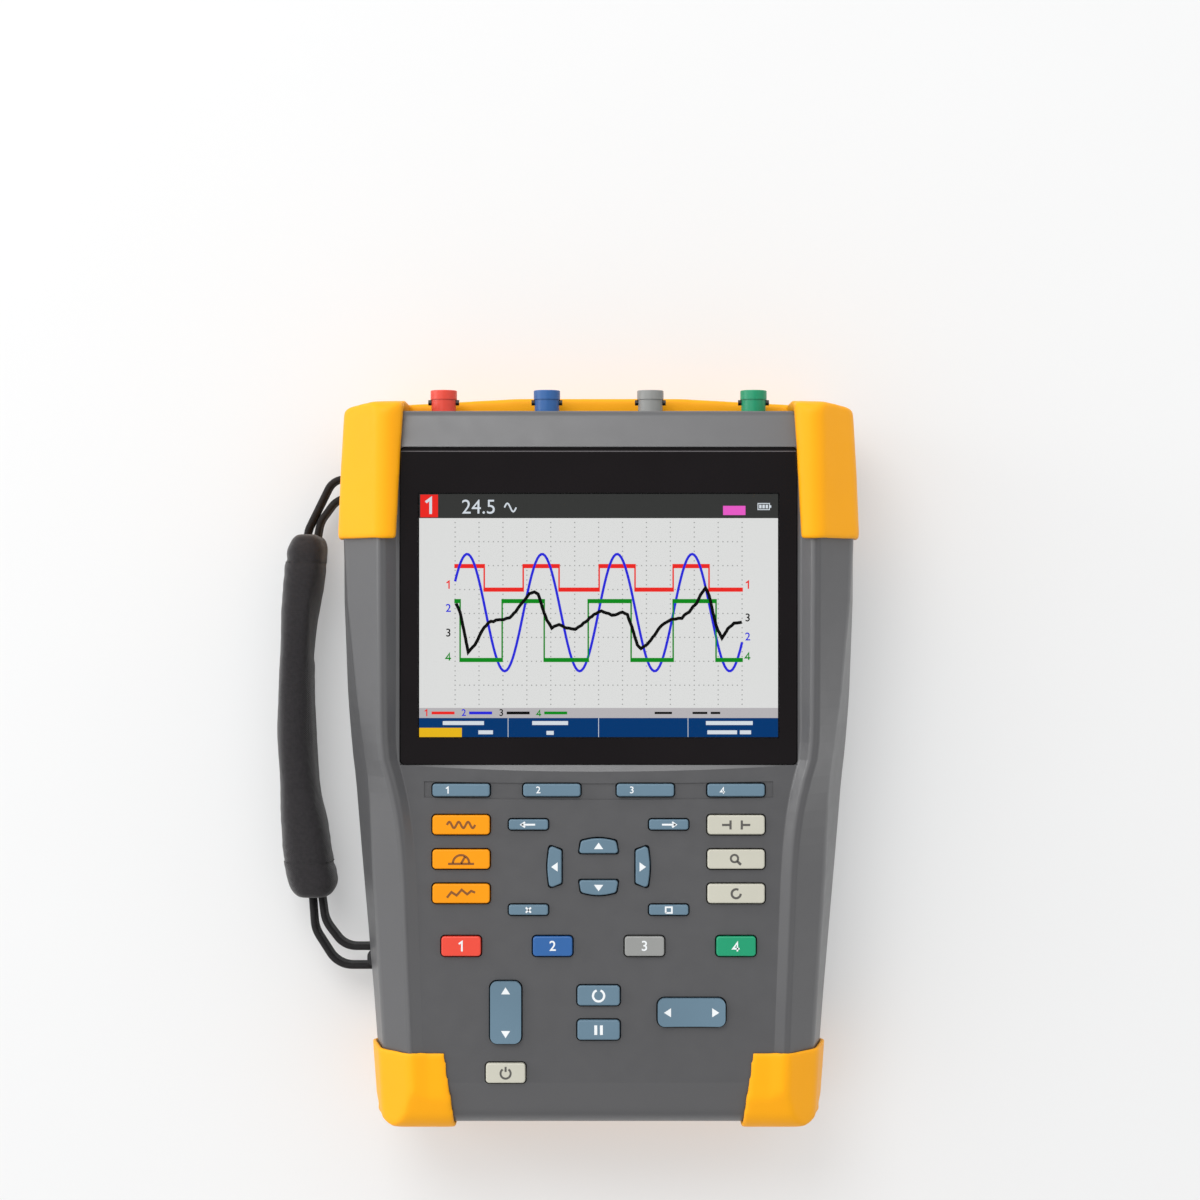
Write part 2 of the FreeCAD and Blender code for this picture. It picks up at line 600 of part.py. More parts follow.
def strap_lugs(outer):
    lugs = []
    for y in LUG_Y:
        x = lug_pin_x(y)
        z0, z1 = STRAP_Z[0] - 2.6, STRAP_Z[1] + 0.6
        ear = [(x - 2.6, y - 2.6, 2.4), (x + 16, y - 5.5, 0), (x + 16, y + 5.5, 0), (x - 2.6, y + 2.6, 2.4)]
        ears = [prism(ear, z, z + 2.0) for z in (z0, z1)]
        pin = rod((x, y, z0), LUG_PIN_R, z1 - z0 + 2.0, (0, 0, 1))
        lugs.append(fuse([ears[0], pin, ears[1]]).cut(outer))
    return [lug for group in lugs for lug in group.Solids]


def web(points_in, turn_centre, points_out):
    """Webbing that comes in, turns round a lug's pin and goes out again."""
    x, y = turn_centre
    radius = LUG_PIN_R + 0.3 + WEB_THICK / 2
    sign = 1 if points_in[-1][1] > y else -1
    middle = (STRAP_Z[0] + STRAP_Z[1]) / 2
    place = lambda u, v: V(u, v, middle)
    inward = rounded_edges(points_in + [(x, y + sign * radius, 0)], place, closed=False)
    turn = Part.Arc(place(x, y + sign * radius), place(x + radius, y), place(x, y - sign * radius)).toShape()
    outward = rounded_edges([(x, y - sign * radius, 0)] + points_out, place, closed=False)
    path = Part.Wire(inward + [turn] + outward)
    start = path.OrderedVertexes[0].Point
    tangent = path.OrderedEdges[0].tangentAt(path.OrderedEdges[0].FirstParameter)
    across = V(0, 0, 1).cross(tangent) * (WEB_THICK / 2)
    up = V(0, 0, (STRAP_Z[1] - STRAP_Z[0]) / 2)
    corners = [start - across - up, start + across - up, start + across + up, start - across + up]
    profile = Part.makePolygon(corners + corners[:1])
    band = path.makePipeShell([profile], True, False)
    print("webbing length", round(path.Length, 1), "volume error",
          round(band.Volume / (path.Length * WEB_THICK * 10.0) - 1, 4))
    return band


def strap_webbing_upper():
    y = LUG_Y[0]
    radius = LUG_PIN_R + 0.3 + WEB_THICK / 2
    return web([(-108.6, 79.0, 0), (-108.1, 82.5, 10.0), (-98.8, y + radius, 7.0)], (lug_pin_x(y), y),
               [(-97.0, y - radius, 8.0), (-103.6, 85.5, 10.0), (-104.8, 79.0, 0)])


def strap_webbing_lower():
    y = LUG_Y[1]
    radius = LUG_PIN_R + 0.3 + WEB_THICK / 2
    return web([(-103.2, -52.5, 0), (-101.8, -63.0, 12.0), (-94.5, y + radius, 9.0)], (lug_pin_x(y), y),
               [(-97.0, y - radius, 10.0), (-105.6, -66.0, 12.0), (-106.6, -52.5, 0)])


def strap_pad(webbings):
    path = Part.Wire([Part.Arc(*(V(x, y, PAD_Z) for x, y in PAD_LINE)).toShape()])
    edge = path.Edges[0]
    start = edge.valueAt(edge.FirstParameter)
    tangent = edge.tangentAt(edge.FirstParameter)
    across = V(0, 0, 1).cross(tangent)
    width, height, radius = PAD_SECTION
    points = rect(0, 0, width, height, radius)
    profile = Part.Wire(rounded_edges(points, lambda u, v: start + across * u + V(0, 0, v)))
    pad = path.makePipeShell([profile], True, False)
    for webbing in webbings:
        pad = pad.cut(webbing)
    return pad


# ---- back ----
def tilt_stand():
    y0, y1 = STAND_Y
    z0, z1 = STAND_Z
    plate = side_prism([(y0, z0, 1.2), (y1, z0, 0), (y1, z1, 0), (y0, z1, 1.2)], -STAND_X, STAND_X)
    plate = plate.common(prism([(-STAND_X + 8, y0, 6.0), (STAND_X - 8, y0, 6.0), (STAND_X, y1 + 5, 0),
                                (-STAND_X, y1 + 5, 0)], 0, 12))
    knuckle = rod((-STAND_X, y1, STAND_PIN_Z), (z1 - z0) / 2, 2 * STAND_X, (1, 0, 0))
    shape = fuse([plate, knuckle])
    for sign in (-1, 1):
        shape = shape.cut(rod((sign * STAND_X, y1, STAND_PIN_Z), STAND_PIN_R + RUNNING, 12.0, (-sign, 0, 0)))
    # two shallow hollows on the outer face
    for sign in (-1, 1):
        shape = shape.cut(prism(rect(sign * 20, (y0 + y1) / 2, 26, 46, 5), z0 - 1, z0 + 1.6))
    return shape


def stand_pins():
    y = STAND_Y[1]
    return [rod((sign * (STAND_X + 4.5), y, STAND_PIN_Z), STAND_PIN_R, 15.5, (-sign, 0, 0))
            for sign in (-1, 1)]


def battery_door():
    y0, y1 = DOOR_Y
    door = prism(rect(0, (y0 + y1) / 2, 2 * DOOR_X, y1 - y0, 4.0), BACK_Z, BACK_Z + WALL - 0.1)
    for i in range(5):
        door = door.cut(block(-18, 18, y0 + 8 + 4 * i, y0 + 9.6 + 4 * i, BACK_Z - 1, BACK_Z + 0.7))
    for sign in (-1, 1):
        door = door.cut(rod((sign * DOOR_SCREW_X, y1 - 4, 0), 2.4, BACK_Z + 1.4, (0, 0, 1)))
        door = door.cut(rod((sign * DOOR_SCREW_X, y1 - 4, 0), 1.0 + RUNNING, 12, (0, 0, 1)))
    return door


def screw(x, y, z, head_r, head_h, shank_r, shank):
    head = rod((x, y, z), head_r, head_h, (0, 0, 1))
    slot = block(x - head_r * 0.6, x + head_r * 0.6, y - 0.35, y + 0.35, z - 1, z + 0.8)
    cross = block(x - 0.35, x + 0.35, y - head_r * 0.6, y + head_r * 0.6, z - 1, z + 0.8)
    return fuse([head.cut(slot).cut(cross), rod((x, y, z + head_h), shank_r, shank, (0, 0, 1))])


def rubber_feet():
    feet = []
    for x, y in ((-62.0, 46.0), (62.0, 46.0), (-58.0, -44.0), (58.0, -44.0)):
        foot = rod((x, y, 0), 6.0, BACK_Z, (0, 0, 1))
        feet.append(soft_edges(foot, 0.8, at_height(0)))
    return feet


# ---- inside ----
BOARD_X = 66.0           # half width of the main board and of the input block
BOARD_Z = (31.4, 33.0)
CAN_X = 46.0             # half width of the shield can
CAN_Y = (4.0, 80.0)
CAN_TOP = 44.0
CAN_SHEET = 0.6
PANEL_X = 66.4           # half width of the display panel
PANEL_SPAN = (4.0, 98.0)
PANEL_Z = (54.7, 58.1)
FRAME_X = 68.2           # half width of the display's sheet-metal frame
FRAME_SPAN = (1.5, 100.5)
FRAME_SHEET = 1.6


def main_board():
    return block(-BOARD_X, BOARD_X, -42, 116.0, *BOARD_Z)


def input_block():
    return block(-BOARD_X, BOARD_X, 92, BODY_TOP - BNC_FLANGE_BACK - 0.1, BOARD_Z[1], 48.0)


def shield_can():
    outside = block(-CAN_X, CAN_X, *CAN_Y, BOARD_Z[1], CAN_TOP)
    room_x = CAN_X - CAN_SHEET
    y0, y1 = CAN_Y[0] + CAN_SHEET, CAN_Y[1] - CAN_SHEET
    return outside.cut(block(-room_x, room_x, y0, y1, 32.0, CAN_TOP - CAN_SHEET))


def lcd_panel():
    return block(-PANEL_X, PANEL_X, *PANEL_SPAN, *PANEL_Z)


def lcd_frame():
    base_z = PANEL_Z[0] - 0.1
    plate = block(-FRAME_X, FRAME_X, *FRAME_SPAN, base_z - FRAME_SHEET, base_z)
    plate = plate.cut(block(-58, 58, 12, 90, 50, 60))
    rail_x = FRAME_X - FRAME_SHEET / 2
    rails = [block(x - FRAME_SHEET / 2, x + FRAME_SHEET / 2, *FRAME_SPAN, base_z, PANEL_Z[1])
             for x in (-rail_x, rail_x)]
    return fuse([plate] + rails)


def battery_pack():
    return prism(rect(0, -84.0, 96, 72, 3), 9.0, 28.0)


def data_sockets():
    shells = []
    for y, width, z, height in port_sockets()[:2]:
        shell = block(71.0, 79.0, y - width / 2, y + width / 2, z - height / 2, z + height / 2)
        y0, y1 = y - width / 2 + SOCKET_SHEET, y + width / 2 - SOCKET_SHEET
        z0, z1 = z - height / 2 + SOCKET_SHEET, z + height / 2 - SOCKET_SHEET
        shells.append(shell.cut(block(72.0, 80.0, y0, y1, z0, z1)))
    return shells


def power_socket():
    y, width, z, height = port_sockets()[2]
    jack = block(70.5, 79.0, y - width / 2, y + width / 2, z - height / 2, z + height / 2)
    jack = jack.cut(rod((72.0, y, z), JACK_R, 8.0, (1, 0, 0)))
    return fuse([jack, rod((71.5, y, z), JACK_PIN_R, 6.0, (1, 0, 0))])


def keypad_sheet(half_x, z0, z1):
    """A sheet under the keys, narrower between the two lowest screw bosses."""
    tail_x = half_x - 5.5
    half = [(tail_x, -117.0, 3.0), (tail_x, -109.0, 2.0), (half_x, -105.0, 2.0), (half_x, -4.5, 4.0)]
    return prism(half + [(-x, y, radius) for x, y, radius in reversed(half)], z0, z1)


def main():
    os.makedirs("parts", exist_ok=True)
    print("port flap hinge x", round(flap_line(PORT_Z[0]) - FLAP_THICK / 2, 3))
    outer = case_outer()
    inner = case_inner()
    presses = press_keys()
    rockers = rocker_keys()

    save("front_case", front_case(outer, inner, {**presses, **rockers}))
    save("rear_case", rear_case(outer, inner))
    save("case_gasket", gasket(outer))
    save("top_bumper", top_bumper(outer))
    save("bottom_bumper", bottom_bumper(outer))
    save("case_screws", [screw(x, y, BACK_Z + 0.6, SCREW_HEAD_R, 1.8, SCREW_R, 36.0)
                         for x, y in screw_places()])
    save("rubber_feet", rubber_feet())

    save("display_window", prism(window_outline(0, 1.5), WINDOW_TOP - WINDOW_THICK, WINDOW_TOP))
    save("lcd_panel", lcd_panel())
    save("lcd_frame", lcd_frame())

    for name, outline in presses.items():
        save(name, press_key(outline))
    save("rocker_range", rocker(rockers["rocker_range"], "y"))
    save("rocker_time", rocker(rockers["rocker_time"], "x"))
    save("keypad_mat", keypad_sheet(61.0, 55.0, 56.0))
    save("keypad_board", keypad_sheet(59.0, 53.2, 54.8))

    for i, x in enumerate(BNC_X):
        save("bnc_shell_%d" % (i + 1), bnc_shell(x))
    save("bnc_metalwork", bnc_metalwork())
    save("input_block", input_block())
    save("main_board", main_board())
    save("shield_can", shield_can())
    save("battery_pack", battery_pack())
    save("battery_door", battery_door())
    save("door_screws", [screw(sign * DOOR_SCREW_X, DOOR_Y[1] - 4, BACK_Z + 0.2, 2.3, 1.2, 1.0, 3.4)
                         for sign in (-1, 1)])

    save("port_cover", port_cover())
    save("port_cover_pin", port_cover_pin())
    save("data_sockets", data_sockets())
    save("power_socket", power_socket())

    save("tilt_stand", tilt_stand())
    save("stand_pins", stand_pins())

    webbings = [strap_webbing_upper(), strap_webbing_lower()]
    save("strap_webbing_upper", webbings[0])
    save("strap_webbing_lower", webbings[1])
    save("strap_pad", strap_pad(webbings))
    save("strap_lugs", strap_lugs(outer))


main()
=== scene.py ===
import json
import math

import bmesh
import bpy
from mathutils import Matrix, Vector, noise


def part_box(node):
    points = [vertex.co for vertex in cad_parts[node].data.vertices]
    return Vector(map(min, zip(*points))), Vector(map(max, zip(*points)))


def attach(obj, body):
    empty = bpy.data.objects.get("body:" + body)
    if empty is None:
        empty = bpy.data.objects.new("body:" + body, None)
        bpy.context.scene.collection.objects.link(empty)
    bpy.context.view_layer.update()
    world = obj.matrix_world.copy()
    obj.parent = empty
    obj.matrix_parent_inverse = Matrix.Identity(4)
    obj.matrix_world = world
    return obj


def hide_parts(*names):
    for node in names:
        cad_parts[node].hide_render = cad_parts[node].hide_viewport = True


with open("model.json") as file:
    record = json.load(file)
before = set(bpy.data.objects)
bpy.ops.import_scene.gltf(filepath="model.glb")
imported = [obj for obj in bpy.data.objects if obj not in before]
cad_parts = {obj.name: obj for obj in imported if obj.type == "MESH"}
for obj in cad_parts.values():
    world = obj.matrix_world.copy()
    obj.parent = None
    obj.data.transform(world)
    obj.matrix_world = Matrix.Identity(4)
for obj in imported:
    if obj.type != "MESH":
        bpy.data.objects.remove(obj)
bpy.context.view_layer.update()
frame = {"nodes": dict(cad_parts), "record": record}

MM = 0.001
scene = bpy.context.scene
scene.view_settings.view_transform = "Standard"


# ---------------------------------------------------------------- camera
CAMERA_PLACE = (0.0005, 0.0564, 1.062)
LENS = 84.4

camera_data = bpy.data.cameras.new("camera")
camera_data.lens = LENS
camera_data.sensor_width = 36.0
camera_data.clip_start = 0.01
camera = bpy.data.objects.new("camera", camera_data)
camera.location = CAMERA_PLACE
scene.collection.objects.link(camera)
scene.camera = camera


# ---------------------------------------------------------------- materials
def linear(red, green, blue):
    """A display colour of 0 to 255 as the linear values that shaders take."""
    values = []
    for value in (red, green, blue):
        value /= 255.0
        values.append(value / 12.92 if value <= 0.04045 else ((value + 0.055) / 1.055) ** 2.4)
    return (*values, 1.0)


def shade(colour, factor):
    return (*(min(1.0, c * factor) for c in colour[:3]), 1.0)


class Surface:
    """A node material that starts from one Principled shader and object coordinates."""

    def __init__(self, name):
        self.material = bpy.data.materials.new(name)
        self.material.use_nodes = True
        self.tree = self.material.node_tree
        self.shader = self.tree.nodes["Principled BSDF"]
        self.place = self.node("TexCoord").outputs["Object"]

    def node(self, kind, inputs=None, **settings):
        made = self.tree.nodes.new("ShaderNode" + kind)
        for key, value in settings.items():
            setattr(made, key, value)
        for key, value in (inputs or {}).items():
            if isinstance(value, bpy.types.NodeSocket):
                self.tree.links.new(value, made.inputs[key])
            else:
                made.inputs[key].default_value = value
        return made

    def set(self, **values):
        for key, value in values.items():
            socket = self.shader.inputs[key.replace("_", " ")]
            if isinstance(value, bpy.types.NodeSocket):
                self.tree.links.new(value, socket)
            else:
                socket.default_value = value
        return self

    def noise(self, scale, detail=3.0, roughness=0.5, vector=None):
        inputs = {"Vector": vector or self.place, "Scale": scale, "Detail": detail, "Roughness": roughness}
        return self.node("TexNoise", inputs).outputs["Fac"]

    def between(self, factor, low, high, low_at=0.3, high_at=0.7):
        """A colour that goes from low to high as factor does."""
        ramp = self.node("ValToRGB", {"Fac": factor})
        ramp.color_ramp.elements[0].position = low_at
        ramp.color_ramp.elements[0].color = low
        ramp.color_ramp.elements[1].position = high_at
        ramp.color_ramp.elements[1].color = high
        return ramp.outputs["Color"]

    def number(self, factor, low, high):
        return self.node("MapRange", {"Value": factor, "To Min": low, "To Max": high}).outputs["Result"]

    def math(self, operation, first, second=0.0):
        return self.node("Math", {0: first, 1: second}, operation=operation).outputs[0]

    def bump(self, height, strength, distance):
        inputs = {"Height": height, "Strength": strength, "Distance": distance}
        self.set(Normal=self.node("Bump", inputs).outputs["Normal"])
        return self


def moulded(name, colour, rough=0.5, mottle=0.04, grain=0.12, grain_scale=2600.0, specular=0.5):
    """Moulded plastic or rubber: a cloudy tint, a fine grain and uneven gloss."""
    s = Surface(name)
    cloud = s.noise(38.0, 4.0)
    s.set(Base_Color=s.between(cloud, shade(colour, 1 - mottle), shade(colour, 1 + mottle)))
    s.set(Roughness=s.number(s.noise(160.0, 3.0), rough - 0.06, rough + 0.06))
    s.shader.inputs["Specular IOR Level"].default_value = specular
    return s.bump(s.noise(grain_scale, 2.0), grain, 0.00015).material


def metal(name, colour, rough):
    """Bare metal with fine wear along one direction."""
    s = Surface(name)
    streaks = s.node("Mapping", {"Vector": s.place, "Scale": (1.0, 14.0, 1.0)}).outputs["Vector"]
    worn = s.noise(420.0, 4.0, vector=streaks)
    s.set(Base_Color=s.between(worn, shade(colour, 0.85), shade(colour, 1.1)), Metallic=1.0)
    s.set(Roughness=s.number(worn, rough - 0.08, rough + 0.1))
    return s.bump(worn, 0.08, 0.0001).material


def woven(name, colour, pitch, rough, fuzz, relief):
    """Plain weave on all sides, from two crossed waves on each pair of axes, with sheen."""
    s = Surface(name)
    axes = s.node("SeparateXYZ", {"Vector": s.place}).outputs
    turns = 2 * math.pi / pitch
    waves = [s.math("SINE", s.math("MULTIPLY", axes[i], turns)) for i in range(3)]
    over = s.math("MULTIPLY", waves[0], waves[1])
    side = s.math("MULTIPLY", waves[1], waves[2])
    weave = s.math("ADD", over, side)
    lint = s.noise(900.0, 4.0)
    height = s.math("ADD", s.math("MULTIPLY", weave, 0.5), lint)
    s.set(Base_Color=s.between(lint, shade(colour, 0.8), shade(colour, 1.25)), Roughness=rough)
    s.shader.inputs["Sheen Weight"].default_value = fuzz
    s.shader.inputs["Sheen Roughness"].default_value = 0.5
    s.shader.inputs["Specular IOR Level"].default_value = 0.2
    return s.bump(height, relief, 0.0002).material


def glowing(name, colour):
    """A lit part of the display, with the faint cell structure of its pixels."""
    s = Surface(name)
    cells = s.node("TexVoronoi", {"Vector": s.place, "Scale": 2600.0}).outputs["Distance"]
    lit = s.between(cells, colour, shade(colour, 0.97), 0.2, 0.8)
    s.set(Base_Color=shade(colour, 0.02), Emission_Color=lit, Emission_Strength=1.0, Roughness=0.35)
    s.shader.inputs["Specular IOR Level"].default_value = 0.0
    return s.material


def polished(name, colour, rough=0.07):
    """Hard glossy surface with faint smears."""
    s = Surface(name)
    smear = s.noise(22.0, 5.0, 0.6)
    s.set(Base_Color=s.between(smear, shade(colour, 0.85), shade(colour, 1.15)))
    s.set(Roughness=s.number(smear, rough, rough + 0.07))
    s.shader.inputs["Coat Weight"].default_value = 0.3
    s.shader.inputs["Coat Roughness"].default_value = 0.04
    return s.material


def clear_pane(name):
    """The clear part of the window, which only adds a faint gloss over the display."""
    s = Surface(name)
    smear = s.noise(30.0, 5.0, 0.6)
    s.set(Base_Color=(0.02, 0.02, 0.02, 1.0), Alpha=0.05, Roughness=s.number(smear, 0.03, 0.1))
    return s.material


MATERIALS = {
    "case_grey": moulded("case_grey", linear(72, 72, 74), 0.38, 0.03, 0.12, specular=1.0),
    "case_dark": moulded("case_dark", linear(60, 60, 62), 0.45, 0.04, 0.2, specular=0.8),
    "bumper_yellow": moulded("bumper_yellow", linear(255, 172, 2), 0.5, 0.015, 0.06, 1800.0, 0.25),
    "window_black": polished("window_black", linear(20, 16, 18)),
    "lcd_glass": polished("lcd_glass", linear(16, 16, 18), 0.2),
    "mat_navy": moulded("mat_navy", linear(24, 28, 42), 0.7),
    "seal_black": moulded("seal_black", linear(30, 30, 32), 0.7),
    "key_blue_grey": moulded("key_blue_grey", linear(99, 125, 142), 0.45, 0.03, 0.1, specular=0.35),
    "key_orange": moulded("key_orange", linear(243, 151, 4), 0.45, 0.03, 0.1, specular=0.25),
    "key_off_white": moulded("key_off_white", linear(196, 194, 180), 0.45, 0.03, 0.1, specular=0.35),
    "connector_red": moulded("connector_red", linear(232, 72, 54), 0.4, 0.03, 0.08),
    "connector_blue": moulded("connector_blue", linear(42, 96, 160), 0.4, 0.03, 0.08),
    "connector_grey": moulded("connector_grey", linear(146, 147, 145), 0.4, 0.03, 0.08),
    "connector_green": moulded("connector_green", linear(16, 150, 106), 0.4, 0.03, 0.08),
    "dark_metal": metal("dark_metal", linear(70, 66, 64), 0.35),
    "steel": metal("steel", linear(178, 178, 180), 0.3),
    "aluminium_sheet": metal("aluminium_sheet", linear(196, 198, 200), 0.4),
    "tin_plate": metal("tin_plate", linear(205, 205, 200), 0.28),
    "circuit_board": moulded("circuit_board", linear(22, 88, 54), 0.4, 0.12),
    "battery_black": moulded("battery_black", linear(40, 40, 42), 0.5),
    "webbing_black": woven("webbing_black", linear(34, 33, 34), 0.0009, 0.7, 0.1, 0.6),
    "pad_fabric": woven("pad_fabric", linear(43, 41, 43), 0.0007, 0.85, 0.3, 0.5),
    "pane": clear_pane("pane"),
    "legend_white": moulded("legend_white", linear(232, 236, 238), 0.5, 0.02, 0.05),
    "legend_brown": moulded("legend_brown", linear(132, 78, 22), 0.5, 0.03, 0.05),
    # painted highlight: the grey of the line that stands for light caught by the window's upper edge
    "edge_highlight_grey": moulded("edge_highlight_grey", linear(92, 88, 91), 0.5, 0.02, 0.05),
    "legend_dark": moulded("legend_dark", linear(84, 82, 78), 0.5, 0.03, 0.05),
    "thread": moulded("thread", linear(24, 24, 25), 0.7, 0.1, 0.2),
    "screen_white": glowing("screen_white", linear(229, 230, 229)),
    "screen_bar": glowing("screen_bar", linear(57, 58, 57)),
    "screen_grey": glowing("screen_grey", linear(189, 186, 189)),
    "screen_dots": glowing("screen_dots", linear(164, 165, 164)),
    "screen_blue": glowing("screen_blue", linear(4, 58, 116)),
    "screen_line": glowing("screen_line", linear(220, 228, 236)),
    "screen_yellow": glowing("screen_yellow", linear(240, 190, 30)),
    "screen_magenta": glowing("screen_magenta", linear(240, 96, 206)),
    "screen_ink": glowing("screen_ink", linear(14, 14, 14)),
    "trace_red": glowing("trace_red", linear(244, 44, 38)),
    "trace_blue": glowing("trace_blue", linear(44, 44, 224)),
    "trace_black": glowing("trace_black", linear(12, 12, 12)),
    "trace_green": glowing("trace_green", linear(14, 142, 30)),
}


# ---------------------------------------------------------------- mesh helpers
def piece(name, vertices, faces, material, body="root", smooth=None):
    """A mesh piece from points in millimetres."""
    mesh = bpy.data.meshes.new(name)
    mesh.from_pydata([Vector(v) * MM for v in vertices], [], faces)
    mesh.validate()
    mesh.update()
    made = bpy.data.objects.new(name, mesh)
    scene.collection.objects.link(made)
    mesh.materials.append(MATERIALS[material])
    if smooth is not None:
        mesh.shade_smooth()
        mesh.set_sharp_from_angle(angle=math.radians(smooth))
    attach(made, body)
    return made


def slab(name, outline, z0, z1, material, body="root"):
    """A closed plate from a plan outline."""
    count = len(outline)
    vertices = [(x, y, z) for z in (z0, z1) for x, y in outline]
    faces = [tuple(reversed(range(count)))]
    for i in range(count):
        j = (i + 1) % count
        faces.append((i, j, count + j, count + i))
    faces.append(tuple(range(count, 2 * count)))
    return piece(name, vertices, faces, material, body)


def rectangle(x0, x1, y0, y1, radius=0.0, steps=4):
    """A rectangle's outline, with its corners rounded where a radius is given."""
    if radius <= 0:
        return [(x0, y0), (x1, y0), (x1, y1), (x0, y1)]
    points = []
    corners = ((x1 - radius, y0 + radius, -90), (x1 - radius, y1 - radius, 0),
               (x0 + radius, y1 - radius, 90), (x0 + radius, y0 + radius, 180))
    for cx, cy, start in corners:
        for step in range(steps + 1):
            angle = math.radians(start + 90.0 * step / steps)
            points.append((cx + radius * math.cos(angle), cy + radius * math.sin(angle)))
    return points


SHORTEST_MITRE = 0.45    # keeps the mitre of a sharp turn from growing long


def ribbon(name, points, width, z, thick, material, body="root"):
    """A flat line of even width through plan points, with mitred corners that stay short."""
    half = width / 2
    sides = []
    for i, point in enumerate(points):
        here = Vector(point)
        before = (here - Vector(points[i - 1])).normalized() if i else None
        after = (Vector(points[i + 1]) - here).normalized() if i + 1 < len(points) else None
        first, last = before or after, after or before
        along = (first + last).normalized()
        normal = Vector((-along.y, along.x))
        stretch = 1.0 / max(SHORTEST_MITRE, normal.dot(Vector((-first.y, first.x))))
        sides.append((here + normal * half * stretch, here - normal * half * stretch))
    vertices = []
    for left, right in sides:
        vertices += [(left.x, left.y, z), (right.x, right.y, z),
                     (right.x, right.y, z + thick), (left.x, left.y, z + thick)]
    faces = [(0, 1, 2, 3)]
    for i in range(len(points) - 1):
        a, b = 4 * i, 4 * i + 4
        for k in range(4):
            n = (k + 1) % 4
            faces.append((a + k, b + k, b + n, a + n))
    end = 4 * (len(points) - 1)
    faces.append((end + 3, end + 2, end + 1, end))
    return piece(name, vertices, faces, material, body)


FIGURE_THICK = 0.06
BOLD = 0.010             # how much a figure's outline grows, as a part of its size
STROKE_WIDTH = 0.12      # of the drawn figures, as a part of their size
STROKES = {"1": ((-0.16, 0.17), (0.06, 0.33), (0.06, -0.35)),
           "4": ((0.24, -0.16), (-0.22, -0.16), (0.09, 0.28), (0.09, -0.35))}


def numeral(name, text, x, y, z, size, material, body="root", bold=BOLD):
    """Plain figures as a thin raised mesh, centred on x and y. A lone one or four is drawn in strokes."""
    if text in STROKES:
        strokes = [(x + u * size, y + v * size) for u, v in STROKES[text]]
        return ribbon(name, strokes, STROKE_WIDTH * size, z, FIGURE_THICK, material, body)
    curve = bpy.data.curves.new(name + "_text", "FONT")
    curve.body = text
    curve.size = size * MM
    curve.extrude = FIGURE_THICK * MM / 2
    curve.offset = bold * size * MM
    curve.align_x = "CENTER"
    curve.align_y = "CENTER"
    source = bpy.data.objects.new(name + "_text", curve)
    scene.collection.objects.link(source)
    bpy.context.view_layer.update()
    mesh = bpy.data.meshes.new_from_object(source)
    bpy.data.objects.remove(source)
    mesh.name = name
    mesh.materials.clear()
    mesh.materials.append(MATERIALS[material])
    made = bpy.data.objects.new(name, mesh)
    made.location = Vector((x, y, z + FIGURE_THICK / 2)) * MM
    scene.collection.objects.link(made)
    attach(made, body)
    return made


# ---------------------------------------------------------------- CAD nodes: same shapes, new materials
slots = {part["node"]: part["material_slot"] for part in frame["record"]["subparts"]}
for node, obj in frame["nodes"].items():
    obj.data.materials.clear()
    obj.data.materials.append(MATERIALS[slots[node]])


# ---------------------------------------------------------------- rubber bumpers
VOXEL = 0.7              # size of the remesh, in millimetres
ROLL_PASSES = 20
CORNER_PLACE = (77.4, -127.4)    # where the case's lower corners come closest to the rubber's face
CORNER_SPAN = (25.5, 43.5)       # the heights between which the rubber is thin there
CORNER_R = 2.5


def softened(node, corners=()):
    """A rubber moulding with every edge rolled over, shown in place of its sharp-edged CAD shape.

    Each corner (x, y) gets an upright rod of rubber, where the moulding alone would be too thin.
    """
    mesh = frame["nodes"][node].data.copy()
    welded = bmesh.new()
    welded.from_mesh(mesh)
    bmesh.ops.remove_doubles(welded, verts=welded.verts, dist=1e-6)
    low_z, high_z = CORNER_SPAN
    for x, y in corners:
        middle = Matrix.Translation(Vector((x, y, (low_z + high_z) / 2)) * MM)
        radius = CORNER_R * MM
        bmesh.ops.create_cone(welded, cap_ends=True, segments=24, radius1=radius, radius2=radius,
                              depth=(high_z - low_z) * MM, matrix=middle)
    welded.to_mesh(mesh)
    welded.free()
    source = bpy.data.objects.new(node + "_source", mesh)
    scene.collection.objects.link(source)
    remesh = source.modifiers.new("remesh", "REMESH")
    remesh.mode = "VOXEL"
    remesh.voxel_size = VOXEL * MM
    smooth = source.modifiers.new("smooth", "SMOOTH")
    smooth.factor = 0.5
    smooth.iterations = ROLL_PASSES
    evaluated = source.evaluated_get(bpy.context.evaluated_depsgraph_get())
    shape = bpy.data.meshes.new_from_object(evaluated)
    bpy.data.objects.remove(source)
    shape.name = node + "_rubber"
    shape.materials.clear()
    shape.materials.append(MATERIALS[slots[node]])
    shape.shade_smooth()
    made = bpy.data.objects.new(node + "_rubber", shape)
    scene.collection.objects.link(made)
    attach(made, "root")
    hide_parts(node)


softened("top_bumper")
softened("bottom_bumper", [(side * CORNER_PLACE[0], CORNER_PLACE[1]) for side in (-1, 1)])


# ---------------------------------------------------------------- display window
LIT_X = 64.0             # half width of the lit area
LIT_Y = (7.5, 94.2)
LIT_EDGE = 0.35          # from the lit area to the window's border
PANE_EDGE = 0.3
PANE_Z = (-0.6, -0.02)   # the clear pane, from the window's upper face
# a painted highlight along the window's upper edge: a thin grey line where the edge would catch the light
EDGE_HIGHLIGHT_X = 70.2
EDGE_HIGHLIGHT_DROP = 1.3      # from the window's upper edge


